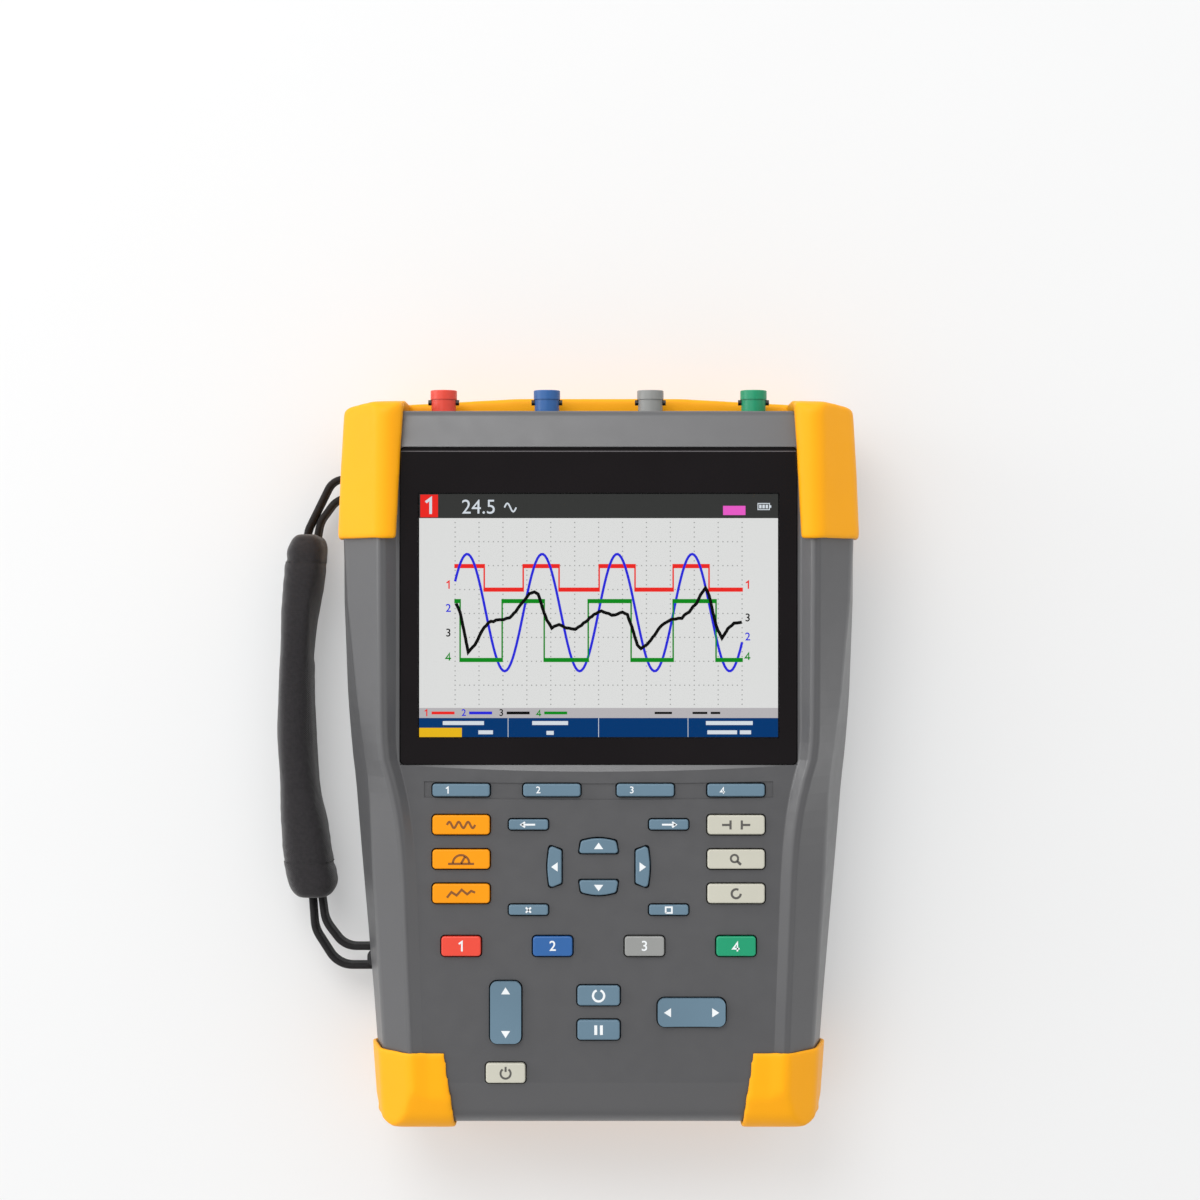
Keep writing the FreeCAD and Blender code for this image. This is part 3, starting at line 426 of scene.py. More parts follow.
def ring(name, outer, inner, z0, z1, material, slot, edge):
    """A flat frame between two outlines with the same number of points, bevelled along the outer one."""
    count = len(outer)
    centre = Vector((sum(p[0] for p in outer) / count, sum(p[1] for p in outer) / count))
    loops = [(outer, z0, 0.0), (outer, z1 - edge, 0.0), (outer, z1, edge), (inner, z1, 0.0), (inner, z0, 0.0)]
    vertices = []
    for points, z, inset in loops:
        for x, y in points:
            inward = (centre - Vector((x, y))).normalized() * inset
            vertices.append((x + inward.x, y + inward.y, z))
    faces = []
    for k in range(len(loops)):
        n = (k + 1) % len(loops)
        for i in range(count):
            j = (i + 1) % count
            faces.append((k * count + i, k * count + j, n * count + j, n * count + i))
    return piece(name, vertices, faces, material, "root")


def lit_outline(margin):
    """The lit area's outline with a margin round it."""
    return rectangle(-LIT_X - margin, LIT_X + margin, LIT_Y[0] - margin, LIT_Y[1] + margin, 0.4)


def window():
    """A black border, a clear pane over the display and a painted highlight: a thin grey line along the upper
    edge, where that edge would catch the light.
    """
    low, high = (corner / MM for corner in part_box("display_window"))
    outer = rectangle(low.x, high.x, low.y, high.y, 1.5)
    border = ring("window_border", outer, lit_outline(LIT_EDGE), low.z, high.z,
                  "window_black", "window_black", 0.25)
    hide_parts("display_window")
    slab("window_pane", lit_outline(PANE_EDGE), high.z + PANE_Z[0], high.z + PANE_Z[1], "pane")
    # painted highlight: a grey line across the black window, just below its upper edge
    highlight_y = high.y - EDGE_HIGHLIGHT_DROP
    ribbon("window_edge_highlight", [(-EDGE_HIGHLIGHT_X, highlight_y), (EDGE_HIGHLIGHT_X, highlight_y)], 0.35, high.z, 0.03, "edge_highlight_grey")


window()


# ---------------------------------------------------------------- what the display shows
SCREEN_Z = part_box("lcd_panel")[1].z / MM + 0.02
LAYER = 0.06             # the picture's pieces lie in layers of this thickness
NUMBER_Z = SCREEN_Z + LAYER
TRACE = 0.55             # width of a fine line
LEVEL = 1.5              # width of the square waves' level stretches
BAR_Y = 85.6             # lower edge of the status bar
LABEL_Y = 17.9           # upper edge of the grey label strip
SOFT_Y = 14.3            # upper edge of the soft-key bar
SCALE_Y = (LABEL_Y + SOFT_Y) / 2
READING_Y = 89.4
GRAPH_X = 51.2           # half width of the graticule
GRAPH_Y = 51.6           # its middle line
GRID_COLUMNS = 12
DOTS = 5                 # dots to a division
DOT_HALF = 0.21


def screen_patch(name, x0, x1, y0, y1, material, layer=1):
    top = SCREEN_Z + LAYER * layer
    slab(name, rectangle(x0, x1, y0, y1), top - LAYER, top, material)


def trace(name, points, material, layer, width=TRACE):
    ribbon(name, points, width, SCREEN_Z + LAYER * layer, LAYER, material)


def square_wave(flips, high_y, low_y):
    """A square wave over the graph's width, which starts high and changes at each flip."""
    points = [(-GRAPH_X, high_y)]
    for x in flips:
        level = points[-1][1]
        points += [(x, level), (x, low_y if level == high_y else high_y)]
    return points + [(GRAPH_X, points[-1][1])]


def sine_wave(peak_x, period, middle, height, steps=150):
    points = []
    for i in range(steps + 1):
        x = -GRAPH_X + 2 * GRAPH_X * i / steps
        points.append((x, middle + height * math.cos(2 * math.pi * (x - peak_x) / period)))
    return points


def bars(name, spans, material, layer, thick=LAYER):
    """Many small flat bars of (x0, x1, y0, y1) as one piece of the picture."""
    z0, z1 = SCREEN_Z + LAYER * layer, SCREEN_Z + LAYER * layer + thick
    vertices, faces = [], []
    for x0, x1, y0, y1 in spans:
        first = len(vertices)
        for z in (z0, z1):
            vertices += [(x0, y0, z), (x1, y0, z), (x1, y1, z), (x0, y1, z)]
        for quad in ((3, 2, 1, 0), (4, 5, 6, 7), (0, 1, 5, 4), (1, 2, 6, 5), (2, 3, 7, 6), (3, 0, 4, 7)):
            faces.append(tuple(first + k for k in quad))
    piece(name, vertices, faces, material)


def dotted_grid():
    """Square divisions in dotted lines. The columns run over the graph's whole height, past the rows."""
    cell = 2 * GRAPH_X / GRID_COLUMNS
    reach = 4 * DOTS - 1
    spots = []
    for column in range(GRID_COLUMNS + 1):
        x = -GRAPH_X + cell * column
        spots += [(x, GRAPH_Y + cell * i / DOTS) for i in range(-reach, reach + 1)]
    for row in range(-3, 4):
        y = GRAPH_Y + cell * row
        spots += [(-GRAPH_X + cell * i / DOTS, y) for i in range(DOTS * GRID_COLUMNS) if i % DOTS]
    spans = [(x - DOT_HALF, x + DOT_HALF, y - DOT_HALF, y + DOT_HALF) for x, y in spots]
    bars("screen_grid", spans, "screen_dots", 1, LAYER / 2)


def levels(name, points, material, layer):
    """The heavier level stretches of a square wave."""
    spans = []
    for (x0, y0), (x1, y1) in zip(points, points[1:]):
        if abs(y1 - y0) < 0.01:
            spans.append((x0 - TRACE / 2, x1 + TRACE / 2, y0 - LEVEL / 2, y0 + LEVEL / 2))
    bars(name, spans, material, layer)


def battery_sign(x, y):
    """A battery outline with three charge bars, its lower left corner at x and y."""
    long, tall, line = 4.4, 2.5, 0.3
    spans = [(x, x + long, y, y + line), (x, x + long, y + tall - line, y + tall), (x, x + line, y, y + tall),
             (x + long - line, x + long, y, y + tall), (x + long, x + long + 0.5, y + 0.8, y + tall - 0.8)]
    spans += [(x + 0.6 + 1.15 * i, x + 1.45 + 1.15 * i, y + 0.6, y + tall - 0.6) for i in range(3)]
    bars("screen_battery", spans, "screen_line", 1)


def unsteady(points, amount):
    """A hand-drawn looking route: finer steps with a little noise."""
    route = []
    for (x0, y0), (x1, y1) in zip(points, points[1:]):
        steps = max(1, round(math.dist((x0, y0), (x1, y1)) / 1.1))
        for i in range(steps):
            x, y = x0 + (x1 - x0) * i / steps, y0 + (y1 - y0) * i / steps
            route.append((x, y + amount * noise.noise(Vector((x * 1.7, y * 0.6, 4.2)))))
    return route + [points[-1]]


def fields():
    """The picture's plain fields, its small tags and the soft-key bar's dividers."""
    screen_patch("screen_background", -LIT_X, LIT_X, LABEL_Y, BAR_Y, "screen_white")
    screen_patch("screen_status_bar", -LIT_X, LIT_X, BAR_Y, LIT_Y[1], "screen_bar")
    screen_patch("screen_label_strip", -LIT_X, LIT_X, SOFT_Y, LABEL_Y, "screen_grey")
    screen_patch("screen_soft_bar", -LIT_X, LIT_X, LIT_Y[0], SOFT_Y, "screen_blue")
    screen_patch("screen_channel_tag", -63.6, -57.3, BAR_Y + 0.3, LIT_Y[1] - 0.2, "trace_red", 2)
    screen_patch("screen_state_tag", 44.4, 52.4, 86.7, 90.0, "screen_magenta", 2)
    screen_patch("screen_soft_choice", -64.0, -48.8, LIT_Y[0], 10.8, "screen_yellow", 2)
    for i, x in enumerate((-32.3, 0.0, 31.9)):
        trace("screen_soft_divider_%d" % (i + 1), [(x, LIT_Y[0]), (x, SOFT_Y)], "screen_line", 1, 0.2)


RED_WAVE = square_wave((-40.8, -26.9, -14.1, 0.2, 13.0, 26.6, 39.4), 68.5, 60.1)
GREEN_WAVE = square_wave((-49.4, -34.4, -19.4, -3.7, 11.6, 26.6, 41.9), 56.0, 35.0)
BLACK_ROUTE = [(-50.9, 55.3), (-49.4, 51.9), (-48.1, 45.7), (-46.5, 37.8), (-44.1, 40.4), (-41.5, 45.7),
               (-39.3, 48.4), (-36.6, 49.1), (-34.0, 49.4), (-31.7, 50.1), (-29.5, 52.4), (-26.9, 55.9),
               (-24.7, 58.5), (-22.9, 59.4), (-21.6, 58.5), (-20.7, 55.9), (-19.8, 52.8), (-18.5, 49.3),
               (-16.7, 46.6), (-14.1, 47.5), (-11.8, 46.6), (-8.3, 45.9), (-6.1, 47.5), (-3.9, 49.3),
               (-1.7, 51.0), (1.0, 52.4), (3.6, 51.5), (5.8, 50.8), (8.5, 52.1), (10.3, 51.0),
               (11.6, 47.5), (13.8, 40.4), (15.1, 39.1), (17.3, 40.4), (20.0, 44.0), (22.6, 47.5),
               (26.2, 49.4), (29.7, 50.1), (32.4, 52.4), (35.0, 55.4), (36.8, 59.0), (38.1, 60.8),
               (39.4, 58.1), (40.8, 51.9), (42.1, 46.6), (44.0, 42.9), (46.1, 46.2), (48.3, 47.9),
               (51.1, 48.5)]


def traces():
    """Four traces, each in a layer of its own where they cross."""
    trace("trace_red", RED_WAVE, "trace_red", 2)
    levels("trace_red_levels", RED_WAVE, "trace_red", 2)
    trace("trace_blue", sine_wave(-46.9, 26.76, 51.9, 20.9), "trace_blue", 3, 0.9)
    trace("trace_green", GREEN_WAVE, "trace_green", 4)
    levels("trace_green_levels", GREEN_WAVE, "trace_green", 4)
    trace("trace_black", unsteady(BLACK_ROUTE, 0.5), "trace_black", 5, 1.15)


# the soft-key bar's words, as plain bars: left end, length and middle height
SOFT_WORDS = ((-55.6, 14.7, 12.5), (-42.9, 5.2, 9.2), (-23.7, 12.8, 12.5), (-18.6, 2.6, 9.0),
              (38.3, 16.7, 12.5), (38.8, 10.6, 9.2), (50.4, 4.0, 9.2))
WORD_HALF = 0.7
# each trace's colour and the heights of its figure left and right of the graph
MARKS = (("trace_red", 61.8, 61.8), ("trace_blue", 53.4, 43.2),
         ("trace_black", 44.6, 50.0), ("trace_green", 36.2, 36.4))
SCALE_PITCH = 13.4       # from one trace's scale to the next
TIME_BARS = ((20.0, 26.2), (33.5, 38.8), (40.0, 43.4))


def words():
    """Everything that stands for lettering: word bars, trace figures, scales and the reading."""
    spans = [(x, x + long, y - WORD_HALF, y + WORD_HALF) for x, long, y in SOFT_WORDS]
    bars("screen_soft_words", spans, "screen_line", 1)
    for i, (colour, left_y, right_y) in enumerate(MARKS):
        figure, shift = str(i + 1), SCALE_PITCH * i
        numeral("mark_left_" + figure, figure, -53.6, left_y, NUMBER_Z, 4.0, colour)
        numeral("mark_right_" + figure, figure, 53.2, right_y, NUMBER_Z, 4.0, colour)
        numeral("scale_" + figure, figure, -61.5 + shift, SCALE_Y, NUMBER_Z, 3.4, colour)
        trace("scale_bar_" + figure, [(-59.6 + shift, SCALE_Y), (-51.4 + shift, SCALE_Y)], colour, 1, 1.0)
    for i, (start, stop) in enumerate(TIME_BARS):
        trace("time_bar_%d" % (i + 1), [(start, SCALE_Y), (stop, SCALE_Y)], "screen_ink", 1, 0.8)
    numeral("tag_figure", "1", -60.4, 89.9, SCREEN_Z + LAYER * 2, 8.0, "screen_line")
    numeral("reading_figure", "24.5", -42.8, READING_Y, NUMBER_Z, 7.2, "screen_line",
            bold=0.0)
    wave = [(-33.6 + 0.35 * i, READING_Y + 1.5 * math.sin(2 * math.pi * i / 12)) for i in range(13)]
    trace("reading_symbol", wave, "screen_line", 1)


fields()
dotted_grid()
traces()
battery_sign(56.7, 88.5)
words()


# ---------------------------------------------------------------- key legends
KEY_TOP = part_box("key_scope")[1].z / MM
LEGEND = 0.05            # height of a sign above its key
LEGEND_SINK = 0.01       # how deep a sign's foot lies in the key
LEGEND_WEIGHT = 1.3      # the drawn width of a sign's stroke, against its nominal width
ARROW_LONG = 1.15        # half length and half width of the arrow keys' triangles
ARROW_WIDE = 1.65
DISH_R = 90.0            # radius of the rockers' dished faces
ROCKER_ARROW = ((0.0, 1.4), (-1.6, -1.1), (1.6, -1.1))


def centre_of(node):
    a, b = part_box(node)
    return (a.x + b.x) / 2 / MM, (a.y + b.y) / 2 / MM


def key_line(name, node, points, material, width):
    """A stroke of a key's sign, through points round the key's middle."""
    x, y = centre_of(node)
    route = [(x + dx, y + dy) for dx, dy in points]
    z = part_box(node)[1].z / MM - LEGEND_SINK
    ribbon(name, route, width * LEGEND_WEIGHT, z, LEGEND, material, node)


def arc_points(cx, cy, radius, start, end, steps=14):
    return [(cx + radius * math.cos(math.radians(start + (end - start) * i / steps)),
             cy + radius * math.sin(math.radians(start + (end - start) * i / steps)))
            for i in range(steps + 1)]


def key_figures():
    """Figures on the soft keys, left of the middle, and on the channel keys."""
    for i in range(4):
        for kind, shift, size in (("soft", -4.8, 3.4), ("channel", 0.0, 5.0)):
            node = "key_%s_%d" % (kind, i + 1)
            x, y = centre_of(node)
            numeral("%s_figure_%d" % (kind, i + 1), str(i + 1), x + shift, y, KEY_TOP - LEGEND_SINK, size,
                    "legend_white", node)


def key_signs():
    """A plain sign on each function key."""
    wave = [(-5.0 + 0.25 * i, 1.1 * math.sin(2 * math.pi * i / 13.3)) for i in range(41)]
    key_line("scope_wave", "key_scope", wave, "legend_brown", 0.6)
    key_line("meter_dial", "key_meter", arc_points(0, -1.4, 2.9, 0, 180), "legend_brown", 0.6)
    key_line("meter_needle", "key_meter", [(0, -1.5), (1.4, 0.9)], "legend_brown", 0.6)
    key_line("meter_base", "key_meter", [(-4.6, -1.6), (4.6, -1.6)], "legend_brown", 0.6)
    chart = [(-5.0, -1.4), (-3.4, 0.6), (-1.6, -0.6), (0.2, 1.4), (2.2, -0.2), (3.6, 1.0), (5.0, 0.4)]
    key_line("recorder_chart", "key_recorder", chart, "legend_brown", 0.6)
    for sign in (-1, 1):
        bar = [(sign * 2.0, -1.6), (sign * 2.0, 1.6)]
        key_line("cursor_bar_%d" % (sign + 2), "key_cursor", bar, "legend_dark", 0.6)
        arm = [(sign * 2.4, 0), (sign * 5.0, 0)]
        key_line("cursor_arm_%d" % (sign + 2), "key_cursor", arm, "legend_dark", 0.6)
    key_line("zoom_lens", "key_zoom", arc_points(-0.6, 0.3, 1.3, 0, 360, 20), "legend_dark", 0.55)
    key_line("zoom_handle", "key_zoom", [(0.4, -0.7), (1.7, -1.9)], "legend_dark", 0.7)
    key_line("replay_loop", "key_replay", arc_points(0, 0, 1.6, 60, 360, 16), "legend_dark", 0.6)
    for node, sign in (("key_back", -1), ("key_enter", 1)):
        key_line(node + "_shaft", node, [(-sign * 2.4, 0), (sign * 2.4, 0)], "legend_white", 0.5)
        head = [(sign * 1.2, 0.9), (sign * 2.5, 0), (sign * 1.2, -0.9)]
        key_line(node + "_head", node, head, "legend_white", 0.5)
    for sign in (-1, 1):
        stroke = [(-0.9, -0.9 * sign), (0.9, 0.9 * sign)]
        key_line("clear_stroke_%d" % (sign + 2), "key_clear", stroke, "legend_white", 0.5)
    box = [(-1.1, -1.0), (1.1, -1.0), (1.1, 1.0), (-1.1, 1.0), (-1.1, -1.0)]
    key_line("save_box", "key_save", box, "legend_white", 0.45)
    key_line("auto_arc", "key_auto", arc_points(0, 0, 2.0, 110, 430, 20), "legend_white", 0.6)
    for sign in (-1, 1):
        bar = [(sign * 1.0, -1.7), (sign * 1.0, 1.7)]
        key_line("hold_bar_%d" % (sign + 2), "key_hold", bar, "legend_white", 0.8)
    key_line("power_arc", "key_power", arc_points(0, -0.1, 1.8, 125, 415, 20), "legend_dark", 0.55)
    key_line("power_stroke", "key_power", [(0, 0.5), (0, 2.3)], "legend_dark", 0.55)


def key_arrows():
    """A solid triangle on each arrow key, pointing along dx and dy."""
    for node, dx, dy in (("key_up", 0, 1), ("key_down", 0, -1), ("key_left", -1, 0), ("key_right", 1, 0)):
        x, y = centre_of(node)
        tip = (x + dx * ARROW_LONG, y + dy * ARROW_LONG)
        base = [(x - dx * ARROW_LONG + dy * ARROW_WIDE * s, y - dy * ARROW_LONG + dx * ARROW_WIDE * s)
                for s in (-1, 1)]
        outline = [tip, base[0], base[1]]
        area = sum(a[0] * b[1] - b[0] * a[1] for a, b in zip(outline, outline[1:] + outline[:1]))
        slab(node + "_arrow", outline if area > 0 else outline[::-1], KEY_TOP - LEGEND_SINK, KEY_TOP + LEGEND,
             "legend_white", node)


def rocker_arrow(name, node, x, y, turn):
    """A small triangle that follows the rocker's dished face. Turn 0 points up, in quarter turns."""
    low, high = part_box(node)
    centre_x, centre_y = centre_of(node)
    long = max(high.x - low.x, high.y - low.y) / MM / 2
    rise = high.z / MM
    cos, sin = (1, 0, -1, 0)[turn], (0, 1, 0, -1)[turn]
    corners = []
    for u, v in ROCKER_ARROW:
        px, py = x + u * cos - v * sin, y + u * sin + v * cos
        off = math.hypot(px - centre_x, py - centre_y)
        corners.append((px, py, rise - (long ** 2 - off ** 2) / (2 * DISH_R) + 0.03))
    vertices = [(px, py, z - 0.3) for px, py, z in corners] + corners
    faces = [(2, 1, 0), (3, 4, 5), (0, 1, 4, 3), (1, 2, 5, 4), (2, 0, 3, 5)]
    piece(name, vertices, faces, "legend_white", node)


key_figures()
key_signs()
key_arrows()
for node, step, turns in (("rocker_range", (0, 7.6), (0, 2)), ("rocker_time", (-8.4, 0), (1, 3))):
    x, y = centre_of(node)
    rocker_arrow(node + "_arrow_1", node, x + step[0], y + step[1], turns[0])
    rocker_arrow(node + "_arrow_2", node, x - step[0], y - step[1], turns[1])


# ---------------------------------------------------------------- strap
# the padded sleeve's stations from its upper end down: y, outer edge x, inner edge x
SLEEVE = ((80.8, -111.4, -104.9), (79.2, -113.5, -102.5), (75.4, -115.1, -101.3), (66.0, -116.5, -102.1),
          (53.0, -117.4, -104.6), (34.0, -118.2, -106.7), (8.0, -119.0, -106.3), (-13.0, -118.2, -104.4),
          (-27.0, -117.3, -101.3), (-40.6, -116.7, -98.8), (-48.0, -115.2, -97.4), (-52.2, -113.2, -98.8),
          (-53.8, -110.9, -101.1))
SLEEVE_X = -109.5        # the sleeve's middle line, roughly, which its stitches point away from
SLEEVE_Z = 14.3
SLEEVE_TALL = 12.4       # half height
SQUARENESS = 0.58        # of its section, where 1 is an ellipse and 0 a rectangle
SEAMS = (70.7, -40.6)
SEAM_DEPTH = 0.45
SEAM_SLANT = 0.10
SWELL_PRESSURE = 4.0
SWELL_CAP = 0.7
SWELL_STEPS = 20
RINGS = 110
AROUND = 44


def curve_at(rows, y, column):
    """A smooth value between rows that are listed by falling y."""
    last = len(rows) - 2
    i = next((k for k in range(last) if y >= rows[k + 1][0]), last)
    a, b, c, d = rows[max(i - 1, 0)], rows[i], rows[i + 1], rows[min(i + 2, last + 1)]
    span = c[0] - b[0]
    t = (y - b[0]) / span
    start = (c[column] - a[column]) / (c[0] - a[0]) * span
    stop = (d[column] - b[column]) / (d[0] - b[0]) * span
    return ((2 * t ** 3 - 3 * t ** 2 + 1) * b[column] + (t ** 3 - 2 * t ** 2 + t) * start
            + (3 * t ** 2 - 2 * t ** 3) * c[column] + (t ** 3 - t ** 2) * stop)


def sleeve_ring(y):
    """One loop round the sleeve: a soft box section, drawn in where a seam crosses it."""
    outer, inner = curve_at(SLEEVE, y, 1), curve_at(SLEEVE, y, 2)
    middle, half = (outer + inner) / 2, (inner - outer) / 2
    from_end = min(SLEEVE[0][0] - y, y - SLEEVE[-1][0])
    tall = SLEEVE_TALL * (0.74 + 0.26 * math.sqrt(1 - (1 - min(from_end / 6.0, 1.0)) ** 2))
    ring = []
    for k in range(AROUND):
        angle = 2 * math.pi * k / AROUND
        c, s = math.cos(angle), math.sin(angle)
        x = math.copysign(abs(c) ** SQUARENESS, c)
        z = math.copysign(abs(s) ** SQUARENESS, s)
        pinch = sum(math.exp(-((y + SEAM_SLANT * half * x - seam) / 1.0) ** 2) for seam in SEAMS)
        ring.append(Vector((middle + x * (half - SEAM_DEPTH * pinch), y,
                            SLEEVE_Z + z * (tall - SEAM_DEPTH * pinch))))
    return ring


def swollen(made, sewn):
    """The filling presses the cloth out between the sewn rows, which stay where they are."""
    before = [v.co.copy() for v in made.data.vertices]
    group = made.vertex_groups.new(name="sewn")
    group.add(sewn, 1.0, "REPLACE")
    cloth = made.modifiers.new("cloth", "CLOTH")
    cloth.settings.quality = 6
    cloth.settings.mass = 0.2
    cloth.settings.tension_stiffness = 20.0
    cloth.settings.compression_stiffness = 20.0
    cloth.settings.bending_stiffness = 0.6
    cloth.settings.use_pressure = True
    cloth.settings.uniform_pressure_force = SWELL_PRESSURE
    cloth.settings.vertex_group_mass = "sewn"
    cloth.settings.effector_weights.gravity = 0.0
    for step in range(1, SWELL_STEPS + 1):
        scene.frame_set(step)
    evaluated = made.evaluated_get(bpy.context.evaluated_depsgraph_get())
    after = [v.co.copy() for v in evaluated.data.vertices]
    made.modifiers.remove(cloth)
    scene.frame_set(1)
    for vertex, old, new in zip(made.data.vertices, before, after):
        move = new - old
        limit = SWELL_CAP * MM
        if move.length > limit:
            move = move * (limit / move.length)
        vertex.co = old + move


def sleeve_creases(made):
    """Fine creases across the sleeve, strongest beside the seams and the ends."""
    centre_z = SLEEVE_Z * MM
    for vertex in made.data.vertices:
        x, y, z = vertex.co / MM
        near = max(math.exp(-abs(y - seam) / 7.0) for seam in SEAMS)
        fold = noise.noise(Vector((x * 0.11, y * 0.42, z * 0.13))) * (0.12 + 0.30 * near)
        swell = noise.noise(Vector((x * 0.05, y * 0.06, z * 0.08 + 7.7))) * 0.5
        outward = Vector((vertex.normal.x, 0.0, vertex.normal.z + 0.1 * (vertex.co.z > centre_z)))
        vertex.co += outward * (fold + swell) * MM


def subdivided(made):
    """Gives the sleeve's mesh one level of subdivision."""
    modifier = made.modifiers.new("finer", "SUBSURF")
    modifier.levels = 1
    evaluated = made.evaluated_get(bpy.context.evaluated_depsgraph_get())
    finer = bpy.data.meshes.new_from_object(evaluated)
    made.modifiers.remove(modifier)
    made.data = finer
    finer.shade_smooth()


def stitches(name, route, material):
    """Short raised threads with gaps between them along a route of points."""
    long, gap, half, proud = 2.0, 1.1, 0.24, 0.16
    vertices, faces = [], []
    travelled = 0.0
    for a, b in zip(route, route[1:]):
        step = (b - a).length
        travelled += step
        if travelled < long + gap:
            continue
        travelled = 0.0
        along = (b - a).normalized()
        up = Vector((a.x - SLEEVE_X, 0.0, a.z - SLEEVE_Z)).normalized()
        side = along.cross(up).normalized()
        first = len(vertices)
        for t, size in ((-0.5, 0.35), (-0.25, 1.0), (0.25, 1.0), (0.5, 0.35)):
            spot = a + along * long * t
            for across, rise in ((-1, -0.6), (1, -0.6), (0.6, 1), (-0.6, 1)):
                vertices.append(spot + side * half * across * size + up * proud * rise * size)
        for ring in range(3):
            for k in range(4):
                n = (k + 1) % 4
                low = first + 4 * ring
                faces.append((low + k, low + n, low + 4 + n, low + 4 + k))
        faces.append((first + 3, first + 2, first + 1, first))
        faces.append((first + 12, first + 13, first + 14, first + 15))
    piece(name, vertices, faces, material, smooth=50)


def strap_padding():
    """The sleeve: lofted loops, swollen by simulation, creased and then stitched."""
    top, bottom = SLEEVE[0][0], SLEEVE[-1][0]
    loops = []
    for i in range(RINGS + 1):
        t = i / RINGS
        eased = t - 0.05 * math.sin(2 * math.pi * t)
        loops.append(sleeve_ring(top + (bottom - top) * eased))
    vertices = [point for loop in loops for point in loop]
    faces = []
    for i in range(RINGS):
        for k in range(AROUND):
            n = (k + 1) % AROUND
            a, b = i * AROUND, (i + 1) * AROUND
            faces.append((a + k, a + n, b + n, b + k))
    for loop, low in ((loops[0], 0), (loops[-1], RINGS * AROUND)):
        hub = sum(loop, Vector()) / AROUND
        vertices.append(hub)
        for k in range(AROUND):
            n = (k + 1) % AROUND
            rim = (low + n, low + k) if low == 0 else (low + k, low + n)
            faces.append((*rim, len(vertices) - 1))
    made = piece("strap_padding", vertices, faces, "pad_fabric")
    sewn = [i for i, point in enumerate(vertices)
            if min(abs(point.y - y) for y in (*SEAMS, top, bottom)) < 1.7]
    swollen(made, sewn)
    sleeve_creases(made)
    seam_rows = []
    for seam in SEAMS:
        row = min(range(RINGS + 1), key=lambda i: abs(loops[i][0].y - seam))
        seam_rows.append([made.data.vertices[row * AROUND + k].co / MM for k in range(AROUND)])
    subdivided(made)
    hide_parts("strap_pad")
    for label, row in zip(("upper", "lower"), seam_rows):
        fine = []
        for a, b in zip(row, row[1:] + row[:1]):
            fine += [a.lerp(b, i / 6) for i in range(6)]
        stitches("strap_stitching_" + label, fine, "thread")


TAPE_THICK = 2.4
TAPE_Z = (8.0, 18.0)
PIN_WRAP = 3.5           # radius of the tape's centre line round a lug's pin
RIB_PITCH = 1.4
RIB_DEPTH = 0.10


def rounded_route(points, steps=9):
    """Straight runs through (x, y, radius) corners, each turned by an arc of its radius."""
    route = [Vector(points[0][:2])]
    for (ax, ay, _), (bx, by, radius), (cx, cy, _) in zip(points, points[1:], points[2:]):
        here = Vector((bx, by))
        back = (Vector((ax, ay)) - here).normalized()
        onward = (Vector((cx, cy)) - here).normalized()
        half = back.angle(onward) / 2
        middle = here + (back + onward).normalized() * radius / math.sin(half)
        start = here + back * radius / math.tan(half) - middle
        stop = here + onward * radius / math.tan(half) - middle
        for i in range(steps + 1):
            route.append(middle + start.slerp(stop, i / steps) * radius)
    return route + [Vector(points[-1][:2])]


def tape(name, node, points_in, pin, points_out):
    """Woven tape on edge: in to the lug's pin, round it and out again, with ribbed faces."""
    sign = 1 if points_in[-1][1] > pin.y else -1
    wrap = [pin + PIN_WRAP * Vector((math.sin(a), sign * math.cos(a)))
            for a in (math.pi * i / 14 for i in range(15))]
    route = rounded_route(points_in + [(*wrap[0], 0)]) + wrap[1:-1]
    route += rounded_route([(*wrap[-1], 0)] + points_out)
    half, (low, high) = TAPE_THICK / 2, TAPE_Z
    section = []
    count = 28
    for i in range(count + 1):
        z = low + half + (high - low - 2 * half) * i / count
        section.append((half - RIB_DEPTH * (1 - math.cos(2 * math.pi * (z - low) / RIB_PITCH)) / 2, z))
    section += [(half * math.cos(a), high - half + half * math.sin(a)) for a in
                (math.pi * i / 6 for i in range(1, 6))]
    section += [(-across, z) for across, z in reversed(section[:count + 1])]
    section += [(-half * math.cos(a), low + half - half * math.sin(a)) for a in
                (math.pi * i / 6 for i in range(1, 6))]
    vertices, faces = [], []
    for i, point in enumerate(route):
        along = (route[min(i + 1, len(route) - 1)] - route[max(i - 1, 0)]).normalized()
        across = Vector((along.y, -along.x))
        for off, z in section:
            vertices.append((point.x + across.x * off, point.y + across.y * off, z))
    around = len(section)
    for i in range(len(route) - 1):
        a, b = i * around, (i + 1) * around
        faces += [(a + k, b + k, b + (k + 1) % around, a + (k + 1) % around) for k in range(around)]
    faces.append(tuple(range(around)))
    faces.append(tuple(reversed(range((len(route) - 1) * around, len(route) * around))))
    made = piece(name, vertices, faces, "webbing_black", smooth=50)
    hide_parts(node)


def lug_pin(node, y):
    """The pin's place: the tape's furthest point lies half its thickness outside its wrap."""
    return Vector((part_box(node)[1].x / MM - PIN_WRAP - TAPE_THICK / 2, y))


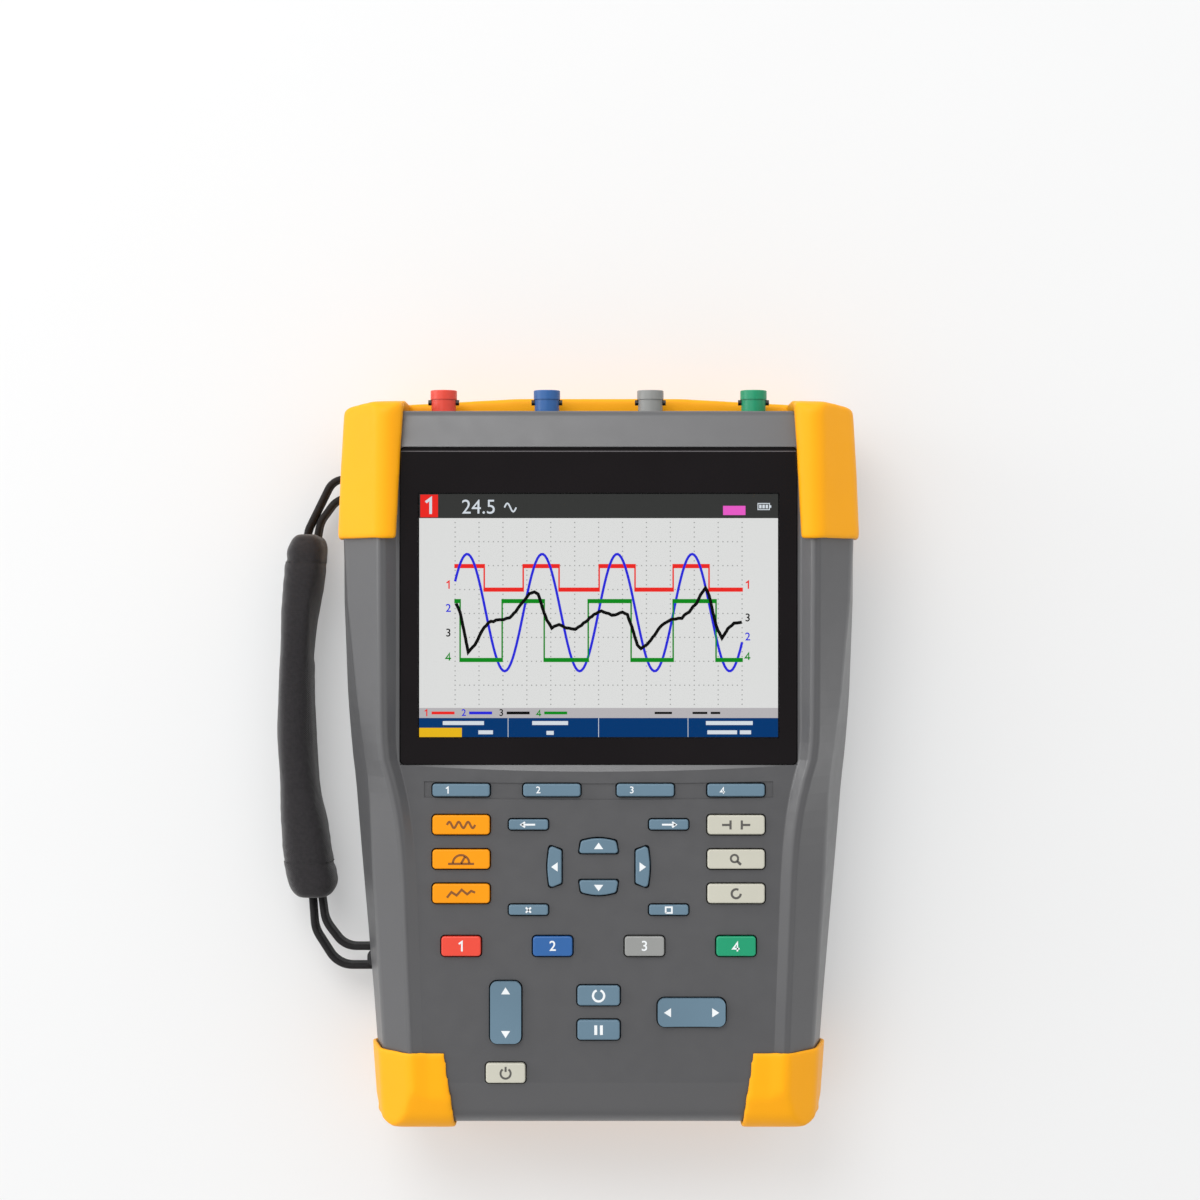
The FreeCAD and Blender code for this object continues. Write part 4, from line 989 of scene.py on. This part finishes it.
strap_padding()
UPPER_PIN = lug_pin("strap_webbing_upper", 98.0)
LOWER_PIN = lug_pin("strap_webbing_lower", -76.0)
tape("strap_tape_upper", "strap_webbing_upper",
     [(-108.6, 79.0, 0), (-108.1, 82.5, 10.0), (-98.8, UPPER_PIN.y + PIN_WRAP, 7.0)], UPPER_PIN,
     [(-97.0, UPPER_PIN.y - PIN_WRAP, 8.0), (-103.6, 85.5, 10.0), (-104.8, 79.0, 0)])
tape("strap_tape_lower", "strap_webbing_lower",
     [(-103.2, -52.5, 0), (-101.8, -63.0, 12.0), (-94.5, LOWER_PIN.y + PIN_WRAP, 9.0)], LOWER_PIN,
     [(-97.0, LOWER_PIN.y - PIN_WRAP, 10.0), (-105.6, -66.0, 12.0), (-106.6, -52.5, 0)])


# ---------------------------------------------------------------- floor, light
FLOOR_HALF = 3.0
FLOOR_TINT = (0.52, 0.522, 0.523)
FLOOR_GLOW = 0.33
HORIZON_GLOW = 0.4
SIDE_GLOW = 1.12
HIGH_GLOW = 0.93
ZENITH_GLOW = 0.12
SKY_LEAN = (-0.3, 0.35, 0.0)     # brighter to the left and to the top, in multiples of the even sky


def light_sheet(name):
    """A pale diffusing sheet that also lets some light through from below."""
    s = Surface(name)
    cloud = s.noise(9.0, 3.0)
    s.set(Base_Color=s.between(cloud, (*FLOOR_TINT, 1.0), (*(c * 1.01 for c in FLOOR_TINT), 1.0)))
    s.set(Emission_Color=(0.993, 1.0, 1.003, 1.0), Emission_Strength=FLOOR_GLOW)
    s.set(Roughness=s.number(s.noise(160.0), 0.65, 0.75))
    s.shader.inputs["Specular IOR Level"].default_value = 0.3
    return s.material


def floor():
    corners = [(x * FLOOR_HALF, y * FLOOR_HALF, 0) for x, y in ((-1, -1), (1, -1), (1, 1), (-1, 1))]
    mesh = bpy.data.meshes.new("floor")
    mesh.from_pydata(corners, [], [(0, 1, 2, 3)])
    made = bpy.data.objects.new("floor", mesh)
    scene.collection.objects.link(made)
    mesh.materials.append(light_sheet("floor"))


def area_light(name, place, target, size, power):
    data = bpy.data.lights.new(name, "AREA")
    data.shape = "DISK"
    data.size = size
    data.energy = power
    made = bpy.data.objects.new(name, data)
    made.location = place
    made.rotation_euler = (Vector(target) - Vector(place)).to_track_quat("-Z", "Y").to_euler()
    scene.collection.objects.link(made)


def sky():
    """A softbox tent: bright round its walls, brightest at the upper left, dim above and at the floor."""
    world = bpy.data.worlds.new("world")
    world.use_nodes = True
    tree = world.node_tree
    direction = tree.nodes.new("ShaderNodeTexCoord").outputs["Generated"]
    split = tree.nodes.new("ShaderNodeSeparateXYZ")
    tree.links.new(direction, split.inputs[0])
    dome = tree.nodes.new("ShaderNodeValToRGB")
    tree.links.new(split.outputs["Z"], dome.inputs["Fac"])
    dome.color_ramp.elements[0].color = (HORIZON_GLOW, HORIZON_GLOW, HORIZON_GLOW, 1)
    dome.color_ramp.elements[1].color = (ZENITH_GLOW, ZENITH_GLOW, ZENITH_GLOW, 1)
    for height, glow in ((0.3, SIDE_GLOW), (0.9, HIGH_GLOW)):
        dome.color_ramp.elements.new(height).color = (glow, glow, glow, 1)
    lean = tree.nodes.new("ShaderNodeVectorMath")
    lean.operation = "DOT_PRODUCT"
    tree.links.new(direction, lean.inputs[0])
    lean.inputs[1].default_value = SKY_LEAN
    factor = tree.nodes.new("ShaderNodeMath")
    factor.operation = "ADD"
    tree.links.new(lean.outputs["Value"], factor.inputs[0])
    factor.inputs[1].default_value = 1.0
    background = tree.nodes["Background"]
    tree.links.new(dome.outputs["Color"], background.inputs["Color"])
    tree.links.new(factor.outputs[0], background.inputs["Strength"])
    scene.world = world


floor()
sky()
area_light("key_light", (-0.45, 1.0, 1.5), (0, 0.03, 0), 1.0, 10.0)
area_light("side_light", (-1.1, 0.35, 0.3), (-0.08, 0.03, 0.05), 0.5, 2.6)
